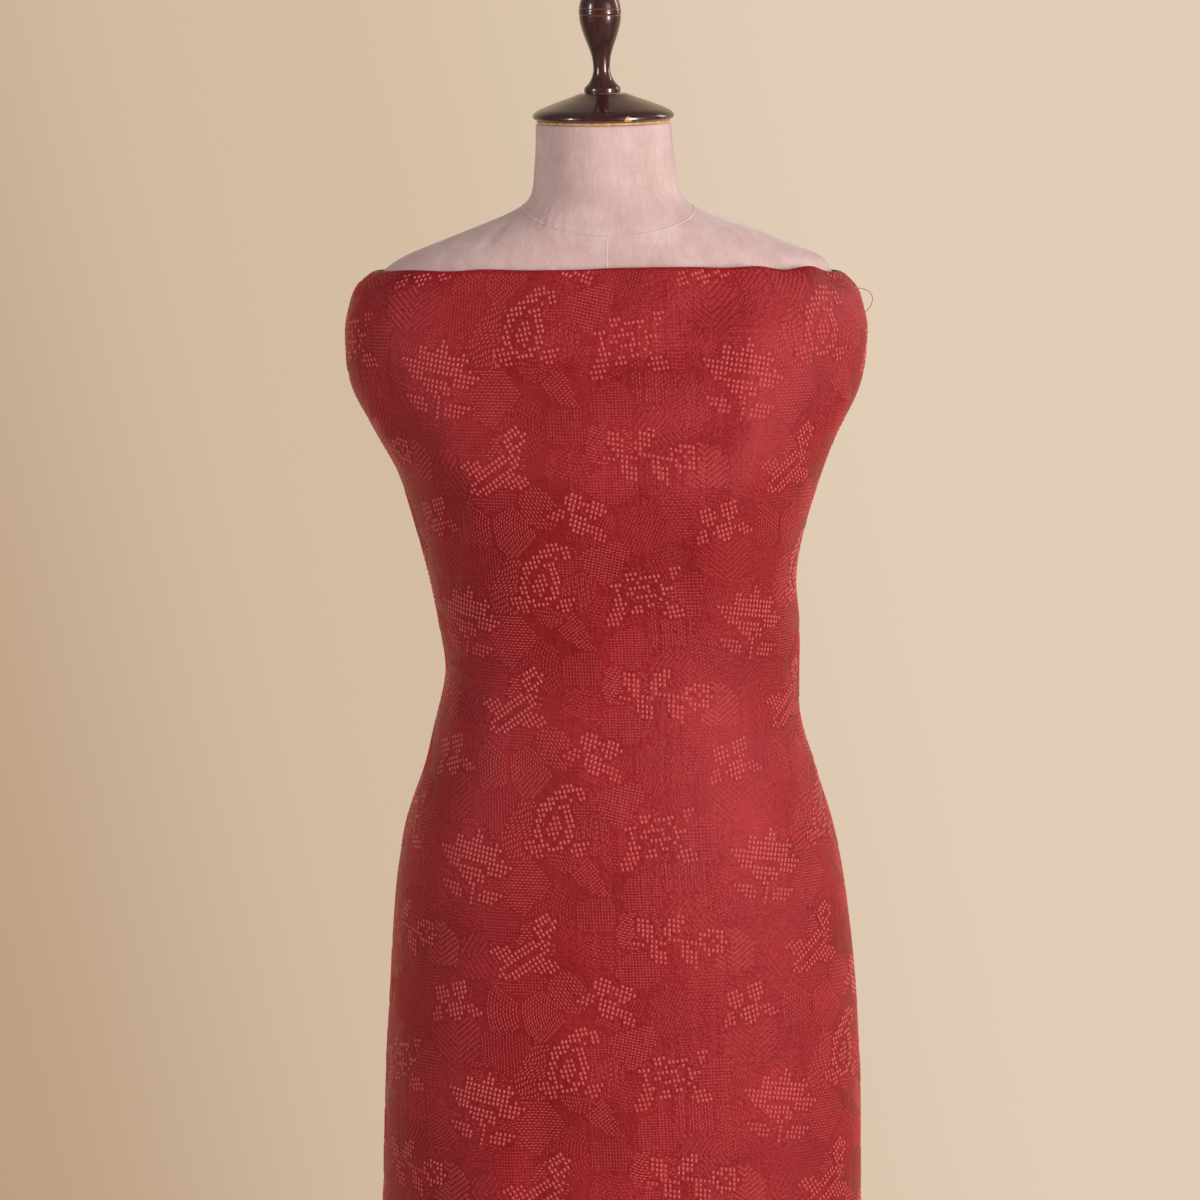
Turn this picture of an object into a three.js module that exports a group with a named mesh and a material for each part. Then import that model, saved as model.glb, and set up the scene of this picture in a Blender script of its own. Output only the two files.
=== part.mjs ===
import * as THREE from 'three';

// Length of embroidered silk wrapped round an armless dress form on a floor stand.
// Millimetres, +Z up, floor at z = 0, the front of the form faces -Y.

// Cloth: the size it was cut to, and how it sits
const CLOTH_WIDTH = 1067;
const CLOTH_THICKNESS = 1.8;
const CLOTH_TOP = 1300;
const HEM_HEIGHT = 330;
const LAP_LEAST = 112;
const LAP_GAP = 5;
const LAP_RAMP = 70;
const FRONT_EDGE_RISE = 6;
const EDGE_RISE_DEPTH = 60;
const EASED_ABOVE = 1258;

// Where the cloth's facets fall: close behind, where the folds are, and wider in front. One unit
// of place behind is the way from the centre back to the end of the lap, the next unit the way
// from there to the end of the folds, which is a share of the way around.
const BACK_REACH_SHARE = 0.176;
const STEPS_PER_PLACE = 6;
const FRONT_STEPS = 24;
const CLOTH_ROWS = 35;

// Dress form
const FORM_BOTTOM = 726;
const NECK_TOP = 1408.7;
const NECK_RADIUS_TOP = 50.3;
const NECK_MIDDLE = 1390;
const NECK_RADIUS_MIDDLE = 51.2;
const NECK_FOOT = 1348;
const NECK_LEAN = -2.4;
const FORM_FACETS = 44;

// Turned wood on the neck
const RIM_RADIUS = 49.6;
const RIM_THICKNESS = 2;
const CAP_RADIUS = 52.7;
const CAP_SHOULDER_RADIUS = 17.4;
const CAP_HEIGHT = 19.1;
const FINIAL_HEIGHT = 81;
const CAP_TILT = 0.8;
const FINIAL_TILT = 1.8;
const FINIAL_ASIDE = -0.4;
const FINIAL_ROOM = 0.25;
const TURNED_FACETS = 28;
const BASE_FACETS = 48;

// Floor stand
const BASE_RADIUS = 210;
const BASE_HEIGHT = 30;
const COLLAR_RADIUS = 30;
const COLLAR_HEIGHT = 46;
const POLE_RADIUS = 14;
const HIP_PLATE_THICKNESS = 12;
const HIP_PLATE_INSET = 10;
const GAP = 0.3;

// Sections of the wrapped cloth, from its top edge to its hem. left and right are the reach
// to -X and +X, front and back the reach to -Y and +Y, power and behind are how square its front
// and its back are, and gathered is the share of the slack that goes into the folds behind, the
// rest going into the lap.
const CLOTH_SECTIONS = [
  { z: CLOTH_TOP, left: 173, right: 174.5, front: 75, back: 91, power: 2.3, behind: 2.3, gathered: 0.2 },
  { z: 1288, left: 186, right: 186, front: 79, back: 96, power: 2.35, behind: 2.3, gathered: 0.2 },
  { z: 1270, left: 192, right: 192, front: 85, back: 102, power: 2.4, behind: 2.3, gathered: 0.2 },
  { z: 1252, left: 194.5, right: 194, front: 92, back: 106, power: 2.4, behind: 2.3, gathered: 0.2 },
  { z: 1215, left: 190.5, right: 189, front: 106, back: 111, power: 2.4, behind: 2.35, gathered: 0.3 },
  { z: 1179, left: 171.5, right: 172, front: 120, back: 113, power: 2.45, behind: 2.5, gathered: 0.4 },
  { z: 1150, left: 155.5, right: 160.5, front: 127, back: 112, power: 2.5, behind: 2.6, gathered: 0.5 },
  { z: 1107, left: 142, right: 147.5, front: 120, back: 108, power: 2.45, behind: 2.75, gathered: 0.6 },
  { z: 1071, left: 132.5, right: 141.5, front: 109, back: 104, power: 2.35, behind: 2.85, gathered: 0.64 },
  { z: 1034, left: 125, right: 144, front: 101, back: 101, power: 2.25, behind: 2.9, gathered: 0.66 },
  { z: 998, left: 120, right: 144, front: 99, back: 100, power: 2.2, behind: 2.9, gathered: 0.66 },
  { z: 962, left: 127.5, right: 145.5, front: 103, back: 103, power: 2.2, behind: 2.8, gathered: 0.64 },
  { z: 926, left: 136, right: 156, front: 109, back: 109, power: 2.2, behind: 2.65, gathered: 0.6 },
  { z: 880, left: 151, right: 170.5, front: 116, back: 119, power: 2.2, behind: 2.45, gathered: 0.5 },
  { z: 826, left: 158.5, right: 180.5, front: 120, back: 129, power: 2.2, behind: 2.3, gathered: 0.35 },
  { z: 753, left: 163, right: 188, front: 120, back: 131, power: 2.2, behind: 2.2, gathered: 0.25 },
  { z: 681, left: 166.5, right: 191.5, front: 119, back: 129, power: 2.2, behind: 2.2, gathered: 0.25 },
  { z: 560, left: 169.5, right: 192, front: 119, back: 128, power: 2.2, behind: 2.2, gathered: 0.3 },
  { z: 430, left: 172, right: 193.5, front: 120, back: 129, power: 2.2, behind: 2.2, gathered: 0.3 },
  { z: HEM_HEIGHT, left: 173, right: 194, front: 121, back: 130, power: 2.2, behind: 2.2, gathered: 0.3 },
];

// Folds that take up the slack behind, from -X to +X. place is as above, width the whole width
// of the fold in the same units and share its height beside the tallest.
const BACK_FOLDS = [
  { place: -9 / 6, width: 1, share: 0.66 },
  { place: -4 / 6, width: 4 / 6, share: 0.95 },
  { place: 0, width: 4 / 6, share: 0.74 },
  { place: 4 / 6, width: 4 / 6, share: 1 },
  { place: 9 / 6, width: 1, share: 0.58 },
];

// Soft troughs and ridges of the cloth. along is the distance along the section from the centre
// front, towards +X, z the height, turn the direction in degrees from level, length and width
// how far it runs and spreads, and rise how far it stands out, or goes in where negative.
const SOFT_FOLDS = [
  { along: -50, z: 1240, turn: -3, length: 44, width: 12, rise: -3.4 },
  { along: 40, z: 1241, turn: 2, length: 60, width: 12, rise: -3.4 },
  { along: 62, z: 1267, turn: 24, length: 26, width: 14, rise: -2.8 },
  { along: 62, z: 1190, turn: 3, length: 46, width: 12, rise: -3 },
  { along: 104, z: 1190, turn: 86, length: 100, width: 17, rise: 3.6 },
  { along: -114, z: 1200, turn: 96, length: 84, width: 18, rise: 2.2 },
  { along: 172, z: 1212, turn: 70, length: 46, width: 16, rise: -3.4 },
  { along: -172, z: 1208, turn: 110, length: 46, width: 16, rise: -2.8 },
  { along: 57, z: 1088, turn: 90, length: 36, width: 9, rise: -2.6 },
  { along: -120, z: 1112, turn: 78, length: 42, width: 14, rise: -3 },
  { along: -60, z: 915, turn: 97, length: 74, width: 15, rise: -1.6 },
  { along: 170, z: 868, turn: 62, length: 42, width: 15, rise: -3 },
  { along: 182, z: 908, turn: 48, length: 30, width: 13, rise: 3.4 },
  { along: -52, z: 640, turn: 90, length: 92, width: 14, rise: -4 },
  { along: -84, z: 500, turn: 91, length: 190, width: 24, rise: 4.5 },
  { along: 22, z: 440, turn: 90, length: 170, width: 26, rise: 4 },
  { along: 96, z: 470, turn: 88, length: 180, width: 22, rise: -4.5 },
  { along: 176, z: 450, turn: 90, length: 180, width: 26, rise: 5 },
  { along: -176, z: 460, turn: 90, length: 170, width: 24, rise: -4 },
  { along: -290, z: 440, turn: 90, length: 180, width: 30, rise: 6 },
  { along: 292, z: 430, turn: 90, length: 180, width: 30, rise: 6 },
  { along: 380, z: 450, turn: 90, length: 170, width: 24, rise: -5 },
];

// Height of the cloth's top edge against its even line, along the edge from the centre front
// towards +X. The edge is a little uneven, and drops off the two shoulders.
const EDGE_HEIGHTS = [
  { along: -260, rise: 0 }, { along: -205, rise: -1.8 }, { along: -177, rise: -2.1 },
  { along: -150, rise: -1.4 }, { along: -116, rise: -2.3 }, { along: -92, rise: -0.9 },
  { along: -66, rise: -1.5 }, { along: -22, rise: -1.2 }, { along: 5, rise: 0.1 },
  { along: 62, rise: 0.9 }, { along: 88, rise: 0.4 }, { along: 113, rise: 1.5 },
  { along: 134, rise: -1 }, { along: 157, rise: 1.7 }, { along: 174, rise: -2.2 },
  { along: 208, rise: -1.8 }, { along: 260, rise: 0 },
];

// Sections of the dress form's body, from its underside up to the foot of the neck. left and
// right are the reach to -X and +X, front and back the reach to -Y and +Y.
const FORM_SECTIONS = [
  { z: FORM_BOTTOM, left: 148, right: 148, front: 108, back: 118, power: 2.2 },
  { z: 800, left: 148, right: 148, front: 108, back: 117, power: 2.2 },
  { z: 862, left: 143, right: 143, front: 104, back: 108, power: 2.2 },
  { z: 926, left: 126, right: 126, front: 96, back: 92, power: 2.2 },
  { z: 966, left: 115, right: 115, front: 89, back: 83, power: 2.2 },
  { z: 1002, left: 110, right: 110, front: 85, back: 79, power: 2.2 },
  { z: 1040, left: 113, right: 113, front: 87, back: 80, power: 2.25 },
  { z: 1084, left: 123, right: 123, front: 95, back: 86, power: 2.35 },
  { z: 1122, left: 133, right: 133, front: 107, back: 92, power: 2.45 },
  { z: 1152, left: 143, right: 143, front: 113, back: 97, power: 2.5 },
  { z: 1186, left: 159, right: 159, front: 106, back: 100, power: 2.4 },
  { z: 1220, left: 178, right: 178, front: 94, back: 99, power: 2.35 },
  { z: 1250, left: 187, right: 187, front: 82, back: 95, power: 2.3 },
  { z: 1272, left: 184.5, right: 184.5, front: 76, back: 90, power: 2.25 },
  { z: 1288, left: 175.5, right: 176.5, front: 71, back: 85, power: 2.2 },
  { z: 1300, left: 164.5, right: 166.5, front: 68, back: 80, power: 2.1 },
  { z: 1310, left: 149, right: 158.8, front: 65.5, back: 76, power: 2.0 },
  { z: 1321, left: 122.3, right: 132.5, front: 63, back: 71.5, power: 1.95 },
  { z: 1331, left: 97.3, right: 107.6, front: 60.5, back: 67.5, power: 1.95 },
  { z: 1340, left: 75.5, right: 80.5, front: 58.2, back: 63, power: 1.95 },
  { z: 1348, left: 61.5, right: 63, front: 56.4, back: 59, power: 2.0 },
  { z: 1357, left: 55.4, right: 55.4, front: 54.6, back: 56, power: 2.0 },
  { z: 1372, left: 53, right: 53, front: 52.6, back: 53.4, power: 2.0 },
];

// Turned outlines, as radius and height above the foot of each piece
const FINIAL_OUTLINE = [
  [13.4, 0], [13.5, 3.6], [12.7, 4.7], [9.9, 7.5], [8.1, 10.5], [6.9, 13.6], [6.2, 17.6],
  [6.4, 21.6], [7.0, 26.4], [8.4, 31.4], [10.5, 37.3], [12.4, 42.4], [14.1, 48], [15.2, 52.8],
  [15.6, 56.9], [15.3, 57.4], [15.7, 57.9], [15.8, 61.9], [15.35, 62.4], [15.6, 62.9],
  [14.6, 67.4], [12.5, 72.4], [9.4, 76.6], [5.4, 79.6], [1.2, FINIAL_HEIGHT],
];
const CAP_OUTLINE = [
  [CAP_RADIUS - 2, 0], [CAP_RADIUS - 0.4, 1.1], [CAP_RADIUS, 2.5], [CAP_RADIUS - 0.7, 4.4],
  [CAP_RADIUS - 2.9, 6.3], [CAP_RADIUS - 5.8, 7.9], [CAP_RADIUS - 16.6, 12.2],
  [CAP_RADIUS - 28.6, 16.5], [CAP_SHOULDER_RADIUS, CAP_HEIGHT],
];
const BASE_OUTLINE = [
  [BASE_RADIUS - 3, 0], [BASE_RADIUS, 3], [BASE_RADIUS, 12], [BASE_RADIUS - 4, 17],
  [BASE_RADIUS - 14, 19], [BASE_RADIUS - 20, 22], [BASE_RADIUS - 30, 24.5], [60, BASE_HEIGHT],
];
const COLLAR_OUTLINE = [
  [COLLAR_RADIUS + 8, 0], [COLLAR_RADIUS + 8, 5], [COLLAR_RADIUS, 9], [COLLAR_RADIUS - 5, 24],
  [COLLAR_RADIUS - 9, 36], [COLLAR_RADIUS - 8, 42], [COLLAR_RADIUS - 11, COLLAR_HEIGHT],
];

const MATERIALS = {
  silk: { color: 0x9c2328, roughness: 0.55, metalness: 0 },
  velvet: { color: 0xd9b9b0, roughness: 0.95, metalness: 0 },
  lacquer: { color: 0x2c0f0e, roughness: 0.16, metalness: 0 },
  bareWood: { color: 0xb98247, roughness: 0.5, metalness: 0 },
  darkWood: { color: 0x35170f, roughness: 0.35, metalness: 0 },
  steel: { color: 0x3a3634, roughness: 0.4, metalness: 0.8 },
};

// Smooth value of one column of a table, where its key column has the value at
function columnAt(rows, column, at, key = 'z') {
  const rising = rows[0][key] < rows[rows.length - 1][key];
  const ordered = rising ? rows : [...rows].reverse();
  const last = ordered.length - 1;
  if (at <= ordered[0][key]) return ordered[0][column];
  if (at >= ordered[last][key]) return ordered[last][column];
  const i = ordered.findIndex((row, k) => k < last && at < ordered[k + 1][key]);
  const slope = (a, b) => (
    (ordered[b][column] - ordered[a][column]) / (ordered[b][key] - ordered[a][key]));
  const step = ordered[i + 1][key] - ordered[i][key];
  const here = slope(Math.max(i - 1, 0), i + 1) * step;
  const there = slope(i, Math.min(i + 2, last)) * step;
  const t = (at - ordered[i][key]) / step;
  const from = ordered[i][column];
  const to = ordered[i + 1][column];
  return from * (2 * t ** 3 - 3 * t ** 2 + 1) + to * (3 * t ** 2 - 2 * t ** 3)
    + here * (t ** 3 - 2 * t ** 2 + t) + there * (t ** 3 - t ** 2);
}

// Point of a rounded section at an angle from the centre front, turning towards +X
function sectionPoint(size, angle) {
  const power = Math.cos(angle) < 0 ? size.behind : size.power;
  const round = (value) => Math.sign(value) * Math.abs(value) ** (2 / power);
  const across = round(Math.sin(angle));
  const deep = round(-Math.cos(angle));
  const x = across * (across > 0 ? size.right : size.left);
  const y = deep * (deep > 0 ? size.back : size.front);
  return new THREE.Vector2(x, y);
}

// Closed body through rings of points, each ring counter-clockwise seen from above
function loft(rings) {
  const count = rings[0].length;
  const points = rings.flat();
  const triangles = [];
  for (let r = 0; r + 1 < rings.length; r++) {
    for (let k = 0; k < count; k++) {
      const a = r * count + k;
      const b = r * count + (k + 1) % count;
      triangles.push(a, b, b + count, a, b + count, a + count);
    }
  }
  const closeEnd = (start, facingUp) => {
    const middle = new THREE.Vector3();
    for (let k = 0; k < count; k++) middle.addScaledVector(points[start + k], 1 / count);
    points.push(middle);
    for (let k = 0; k < count; k++) {
      const next = start + (k + 1) % count;
      triangles.push(points.length - 1, facingUp ? start + k : next, facingUp ? next : start + k);
    }
  };
  closeEnd(0, false);
  closeEnd((rings.length - 1) * count, true);
  return solid(points, triangles);
}

function solid(points, triangles) {
  const geometry = new THREE.BufferGeometry().setFromPoints(points);
  geometry.setIndex(triangles);
  geometry.computeVertexNormals();
  return geometry;
}

// Piece turned on a lathe about the vertical, from the axis out along its outline and back
function turned(outline, facets = TURNED_FACETS) {
  const top = outline[outline.length - 1][1];
  const profile = [[0, outline[0][1]], ...outline, [0, top]];
  const geometry = new THREE.LatheGeometry(profile.map(([r, h]) => new THREE.Vector2(r, h)), facets);
  return geometry.rotateX(Math.PI / 2);
}

function piece(name, geometry, finish, height = 0) {
  const mesh = new THREE.Mesh(geometry, new THREE.MeshStandardMaterial(MATERIALS[finish]));
  mesh.name = name;
  mesh.position.z = height;
  return mesh;
}

// How far the soft folds move the cloth out at a place on it
function softFoldAt(along, z) {
  return SOFT_FOLDS.reduce((sum, fold) => {
    const turn = THREE.MathUtils.degToRad(fold.turn);
    const du = along - fold.along;
    const dz = z - fold.z;
    const down = (du * Math.cos(turn) + dz * Math.sin(turn)) / fold.length;
    const across = (-du * Math.sin(turn) + dz * Math.cos(turn)) / fold.width;
    return sum + fold.rise * Math.exp(-(down ** 2) - across ** 2);
  }, 0);
}

// How far the folds behind stand out, for a fold height of one
function backFoldAt(place) {
  return BACK_FOLDS.reduce((sum, fold) => {
    const t = (place - fold.place) / (fold.width / 2);
    return sum + (Math.abs(t) < 1 ? fold.share * (0.5 + 0.5 * Math.cos(Math.PI * t)) : 0);
  }, 0);
}

// Distance from the centre back for a place behind, and the other way round
function sideOf(place, lap, reach) {
  const past = Math.max(0, Math.abs(place) - 1);
  return Math.sign(place) * (Math.min(Math.abs(place), 1) * lap + past * (reach - lap));
}

function placeOf(side, lap, reach) {
  const past = Math.max(0, Math.abs(side) - lap) / (reach - lap);
  return Math.sign(side) * (Math.min(Math.abs(side) / lap, 1) + past);
}

// Smooth outline of the cloth's section at height z, measured along from the centre front
function clothSection(z) {
  const size = Object.fromEntries(['left', 'right', 'front', 'back', 'power', 'behind']
    .map((column) => [column, columnAt(CLOTH_SECTIONS, column, z)]));
  const steps = 360;
  const points = Array.from({ length: steps + 1 }, (_, k) => (
    sectionPoint(size, (k / steps) * 2 * Math.PI)));
  const reach = [0];
  for (let k = 1; k <= steps; k++) reach.push(reach[k - 1] + points[k].distanceTo(points[k - 1]));
  const around = reach[steps];
  const at = (distance) => {
    const s = THREE.MathUtils.euclideanModulo(distance, around);
    let low = 0;
    let high = steps;
    while (high - low > 1) {
      const middle = (low + high) >> 1;
      if (reach[middle] <= s) low = middle;
      else high = middle;
    }
    const share = (s - reach[low]) / (reach[high] - reach[low]);
    const before = points[(low + steps - 1) % steps];
    const after = points[(high + 1) % steps];
    return {
      point: points[low].clone().lerp(points[high], share),
      outward: new THREE.Vector2(after.y - before.y, before.x - after.x).normalize(),
    };
  };
  return { around, at };
}

// One level of the wrapped cloth: how far each end laps past the centre back, and the folds
// behind just high enough for the level to hold the whole width of the cloth. Over the rounding
// of the shoulders the cloth eases in, and keeps the lap and folds that it has below them.
function clothLevel(z) {
  const { around, at } = clothSection(z);
  const easedAround = z > EASED_ABOVE ? clothSection(EASED_ABOVE).around : around;
  const slack = Math.max(0, CLOTH_WIDTH - LAP_LEAST - easedAround);
  const gathered = slack * columnAt(CLOTH_SECTIONS, 'gathered', z);
  const lap = (CLOTH_WIDTH - easedAround - gathered) / 2;
  const end = around / 2 + lap;
  const place = (along, foldHeight, folds = true) => {
    const { point, outward } = at(along);
    const side = along > 0 ? around / 2 - along : -around / 2 - along;
    const lift = along > 0 ? LAP_GAP * THREE.MathUtils.smoothstep(-side, -lap - LAP_RAMP, -lap - 4) : 0;
    const soft = folds ? softFoldAt(along, z) : 0;
    const behind = foldHeight * backFoldAt(placeOf(side, lap, BACK_REACH_SHARE * around));
    return point.addScaledVector(outward, lift + soft + behind);
  };
  const width = CLOTH_WIDTH - easedAround + around;
  const widthWith = (foldHeight) => {
    const steps = 220;
    let length = 0;
    let last = place(-end, foldHeight, false);
    for (let k = 1; k <= steps; k++) {
      const next = place(end * ((2 * k) / steps - 1), foldHeight, false);
      length += next.distanceTo(last);
      last = next;
    }
    return length;
  };
  let low = 0;
  let high = 50;
  for (let pass = 0; pass < 16; pass++) {
    const middle = (low + high) / 2;
    if (widthWith(middle) < width) low = middle;
    else high = middle;
  }
  return { around, lap, place: (along) => place(along, low) };
}

// Points across the cloth at height z, from its inner end to its outer end
function clothRow(z) {
  const { around, lap, place } = clothLevel(z);
  const ends = Array.from({ length: 3 * STEPS_PER_PLACE + 1 }, (_, k) => (
    around / 2 - sideOf(2 - k / STEPS_PER_PLACE, lap, BACK_REACH_SHARE * around)));
  const front = Array.from({ length: FRONT_STEPS - 1 }, (_, k) => (
    ends[0] * ((2 * (k + 1)) / FRONT_STEPS - 1)));
  return [...ends.map((along) => -along).reverse(), ...front, ...ends].map((along) => {
    const { x, y } = place(along);
    const fade = Math.exp(-(((CLOTH_TOP - z) / EDGE_RISE_DEPTH) ** 2));
    const rise = (FRONT_EDGE_RISE * -y) / CLOTH_SECTIONS[0].front;
    const uneven = columnAt(EDGE_HEIGHTS, 'rise', along, 'along');
    return new THREE.Vector3(x, y, z + (rise + uneven) * fade);
  });
}

// The wrapped sheet: its middle surface, given its thickness along its own normals
function clothGeometry() {
  const heights = Array.from({ length: CLOTH_ROWS + 1 }, (_, r) => {
    const share = r / CLOTH_ROWS;
    return CLOTH_TOP - (CLOTH_TOP - HEM_HEIGHT) * (share - 0.1 * Math.sin(Math.PI * share));
  });
  const grid = heights.map(clothRow);
  const columns = grid[0].length - 1;
  const normalAt = (r, c) => {
    const across = grid[r][Math.min(c + 1, columns)].clone().sub(grid[r][Math.max(c - 1, 0)]);
    const down = grid[Math.min(r + 1, CLOTH_ROWS)][c].clone().sub(grid[Math.max(r - 1, 0)][c]);
    return down.cross(across).normalize();
  };
  const points = [];
  for (const side of [0.5, -0.5]) {
    grid.forEach((row, r) => row.forEach((point, c) => {
      points.push(point.clone().addScaledVector(normalAt(r, c), side * CLOTH_THICKNESS));
    }));
  }
  const width = columns + 1;
  const inner = (CLOTH_ROWS + 1) * width;
  const triangles = [];
  const quad = (a, b, c, d) => triangles.push(a, b, c, a, c, d);
  for (let r = 0; r < CLOTH_ROWS; r++) {
    for (let c = 0; c < columns; c++) {
      const a = r * width + c;
      quad(a + width, a + width + 1, a + 1, a);
      quad(inner + a, inner + a + 1, inner + a + width + 1, inner + a + width);
    }
  }
  for (let c = 0; c < columns; c++) {
    const low = CLOTH_ROWS * width + c;
    quad(c, c + 1, inner + c + 1, inner + c);
    quad(low + 1, low, inner + low, inner + low + 1);
  }
  for (let r = 0; r < CLOTH_ROWS; r++) {
    const left = r * width;
    const right = left + columns;
    quad(left + width, left, inner + left, inner + left + width);
    quad(right, right + width, inner + right + width, inner + right);
  }
  return solid(points, triangles);
}

// How far the neck's slight lean has moved its middle to -X at height z
function leanAt(z) {
  return NECK_LEAN * THREE.MathUtils.clamp((z - NECK_FOOT) / (NECK_TOP - NECK_FOOT), 0, 1);
}

function formRing(z, inset = 0) {
  const size = {
    left: columnAt(FORM_SECTIONS, 'left', z) - inset,
    right: columnAt(FORM_SECTIONS, 'right', z) - inset,
    front: columnAt(FORM_SECTIONS, 'front', z) - inset,
    back: columnAt(FORM_SECTIONS, 'back', z) - inset,
    power: columnAt(FORM_SECTIONS, 'power', z),
    behind: columnAt(FORM_SECTIONS, 'power', z),
  };
  return Array.from({ length: FORM_FACETS }, (_, k) => {
    const { x, y } = sectionPoint(size, (k / FORM_FACETS) * 2 * Math.PI);
    return new THREE.Vector3(x + leanAt(z), y, z);
  });
}

// Ring round the neck, which a tilt lowers towards -X
function neckRing(z, radius, tilt = 0) {
  return Array.from({ length: FORM_FACETS }, (_, k) => {
    const angle = (k / FORM_FACETS) * 2 * Math.PI;
    const aside = radius * Math.sin(angle);
    const deep = -radius * Math.cos(angle);
    return new THREE.Vector3(aside * Math.cos(tilt) + leanAt(z), deep, z + aside * Math.sin(tilt));
  });
}

function torsoForm() {
  const rings = FORM_SECTIONS.map(({ z }) => formRing(z));
  rings.push(neckRing(NECK_MIDDLE, NECK_RADIUS_MIDDLE));
  rings.push(neckRing(NECK_TOP, NECK_RADIUS_TOP, THREE.MathUtils.degToRad(CAP_TILT)));
  return piece('torso_form', loft(rings), 'velvet');
}

function hipPlate() {
  const top = FORM_BOTTOM - GAP;
  const outline = [top - HIP_PLATE_THICKNESS, top];
  const rings = outline.map((z) => formRing(FORM_BOTTOM, HIP_PLATE_INSET).map((p) => p.setZ(z)));
  return piece('hip_plate', loft(rings), 'darkWood');
}

// Bare rim, lacquered cap and finial, one on the other along the tilted axis of the neck's top.
// The finial is a little askew and aside on the cap, with room under its foot for that.
function neckTop() {
  const tilt = THREE.MathUtils.degToRad(CAP_TILT);
  const stacked = (name, geometry, finish, up) => {
    const mesh = piece(name, geometry, finish, NECK_TOP + up * Math.cos(tilt));
    mesh.position.x = NECK_LEAN - up * Math.sin(tilt);
    mesh.rotation.y = -tilt;
    return mesh;
  };
  const rim = turned([[RIM_RADIUS, 0], [RIM_RADIUS, RIM_THICKNESS]]);
  const capFoot = GAP + RIM_THICKNESS + GAP;
  const finialFoot = capFoot + CAP_HEIGHT + GAP + FINIAL_ROOM;
  const finial = stacked('finial', turned(FINIAL_OUTLINE), 'lacquer', finialFoot);
  finial.position.x += FINIAL_ASIDE;
  finial.rotation.y = -THREE.MathUtils.degToRad(FINIAL_TILT);
  return [
    stacked('neck_cap_rim', rim, 'bareWood', GAP),
    stacked('neck_cap', turned(CAP_OUTLINE), 'lacquer', capFoot),
    finial,
  ];
}

function stand() {
  const collarFoot = BASE_HEIGHT + GAP;
  const poleFoot = collarFoot + COLLAR_HEIGHT + GAP;
  const poleTop = FORM_BOTTOM - HIP_PLATE_THICKNESS - 2 * GAP;
  const pole = turned([[POLE_RADIUS, 0], [POLE_RADIUS, poleTop - poleFoot]]);
  return [
    piece('base', turned(BASE_OUTLINE, BASE_FACETS), 'darkWood'),
    piece('pole_collar', turned(COLLAR_OUTLINE), 'darkWood', collarFoot),
    piece('pole', pole, 'steel', poleFoot),
  ];
}

const object = new THREE.Group();
object.add(piece('cloth', clothGeometry(), 'silk'));
object.add(torsoForm());
object.add(hipPlate());
object.add(...neckTop());
object.add(...stand());

export default object;
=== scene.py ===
import math

import bpy
import numpy as np
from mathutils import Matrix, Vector


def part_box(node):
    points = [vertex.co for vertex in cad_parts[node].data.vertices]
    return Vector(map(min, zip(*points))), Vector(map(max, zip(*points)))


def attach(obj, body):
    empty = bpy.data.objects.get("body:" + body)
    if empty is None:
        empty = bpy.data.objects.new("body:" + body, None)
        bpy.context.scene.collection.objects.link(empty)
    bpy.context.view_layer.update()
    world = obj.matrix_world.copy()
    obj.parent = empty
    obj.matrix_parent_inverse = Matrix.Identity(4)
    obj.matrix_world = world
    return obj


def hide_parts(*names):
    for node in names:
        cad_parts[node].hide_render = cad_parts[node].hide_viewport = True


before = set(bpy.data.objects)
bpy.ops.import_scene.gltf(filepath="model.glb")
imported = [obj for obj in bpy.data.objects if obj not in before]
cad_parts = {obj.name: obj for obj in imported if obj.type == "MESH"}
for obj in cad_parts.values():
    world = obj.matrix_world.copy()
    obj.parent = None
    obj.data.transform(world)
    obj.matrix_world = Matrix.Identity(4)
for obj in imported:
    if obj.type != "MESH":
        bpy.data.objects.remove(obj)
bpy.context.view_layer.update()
scene = bpy.context.scene
mm = 0.001

# Helpers for shader nodes: where a value is a socket it is linked, and any other is set


def setSockets(tree, node, values):
    for key, value in values.items():
        if isinstance(value, bpy.types.NodeSocket):
            tree.links.new(value, node.inputs[key])
        else:
            node.inputs[key].default_value = value


def addNode(tree, kind, values=None, **settings):
    node = tree.nodes.new(kind)
    for key, value in settings.items():
        setattr(node, key, value)
    setSockets(tree, node, values or {})
    return node


def newMaterial(name):
    material = bpy.data.materials.new(name)
    material.use_nodes = True
    return material, material.node_tree


def finishMaterial(material, values):
    tree = material.node_tree
    setSockets(tree, tree.nodes["Principled BSDF"], values)
    return material


def rampOf(tree, value, stops, interpolation="LINEAR"):
    ramp = addNode(tree, "ShaderNodeValToRGB", {"Fac": value})
    ramp.color_ramp.interpolation = interpolation
    elements = ramp.color_ramp.elements
    while len(elements) < len(stops):
        elements.new(0.5)
    for element, (at, colour) in zip(elements, stops):
        element.position = at
        element.color = (*colour, 1)
    return ramp.outputs["Color"]


def noiseOf(tree, place, scale, stretch=(1, 1, 1), detail=2, roughness=0.5):
    sized = addNode(tree, "ShaderNodeMapping", {"Vector": place, "Scale": stretch})
    noise = addNode(tree, "ShaderNodeTexNoise", {"Vector": sized.outputs["Vector"], "Scale": scale,
                                                 "Detail": detail, "Roughness": roughness})
    return noise.outputs["Fac"]


def mathOf(tree, operation, first, second=0):
    return addNode(tree, "ShaderNodeMath", {0: first, 1: second}, operation=operation).outputs["Value"]


def sharesOf(tree, *parts):
    # each value times its share, added up
    total = 0
    for value, share in parts:
        total = mathOf(tree, "ADD", mathOf(tree, "MULTIPLY", value, share), total)
    return total


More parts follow.
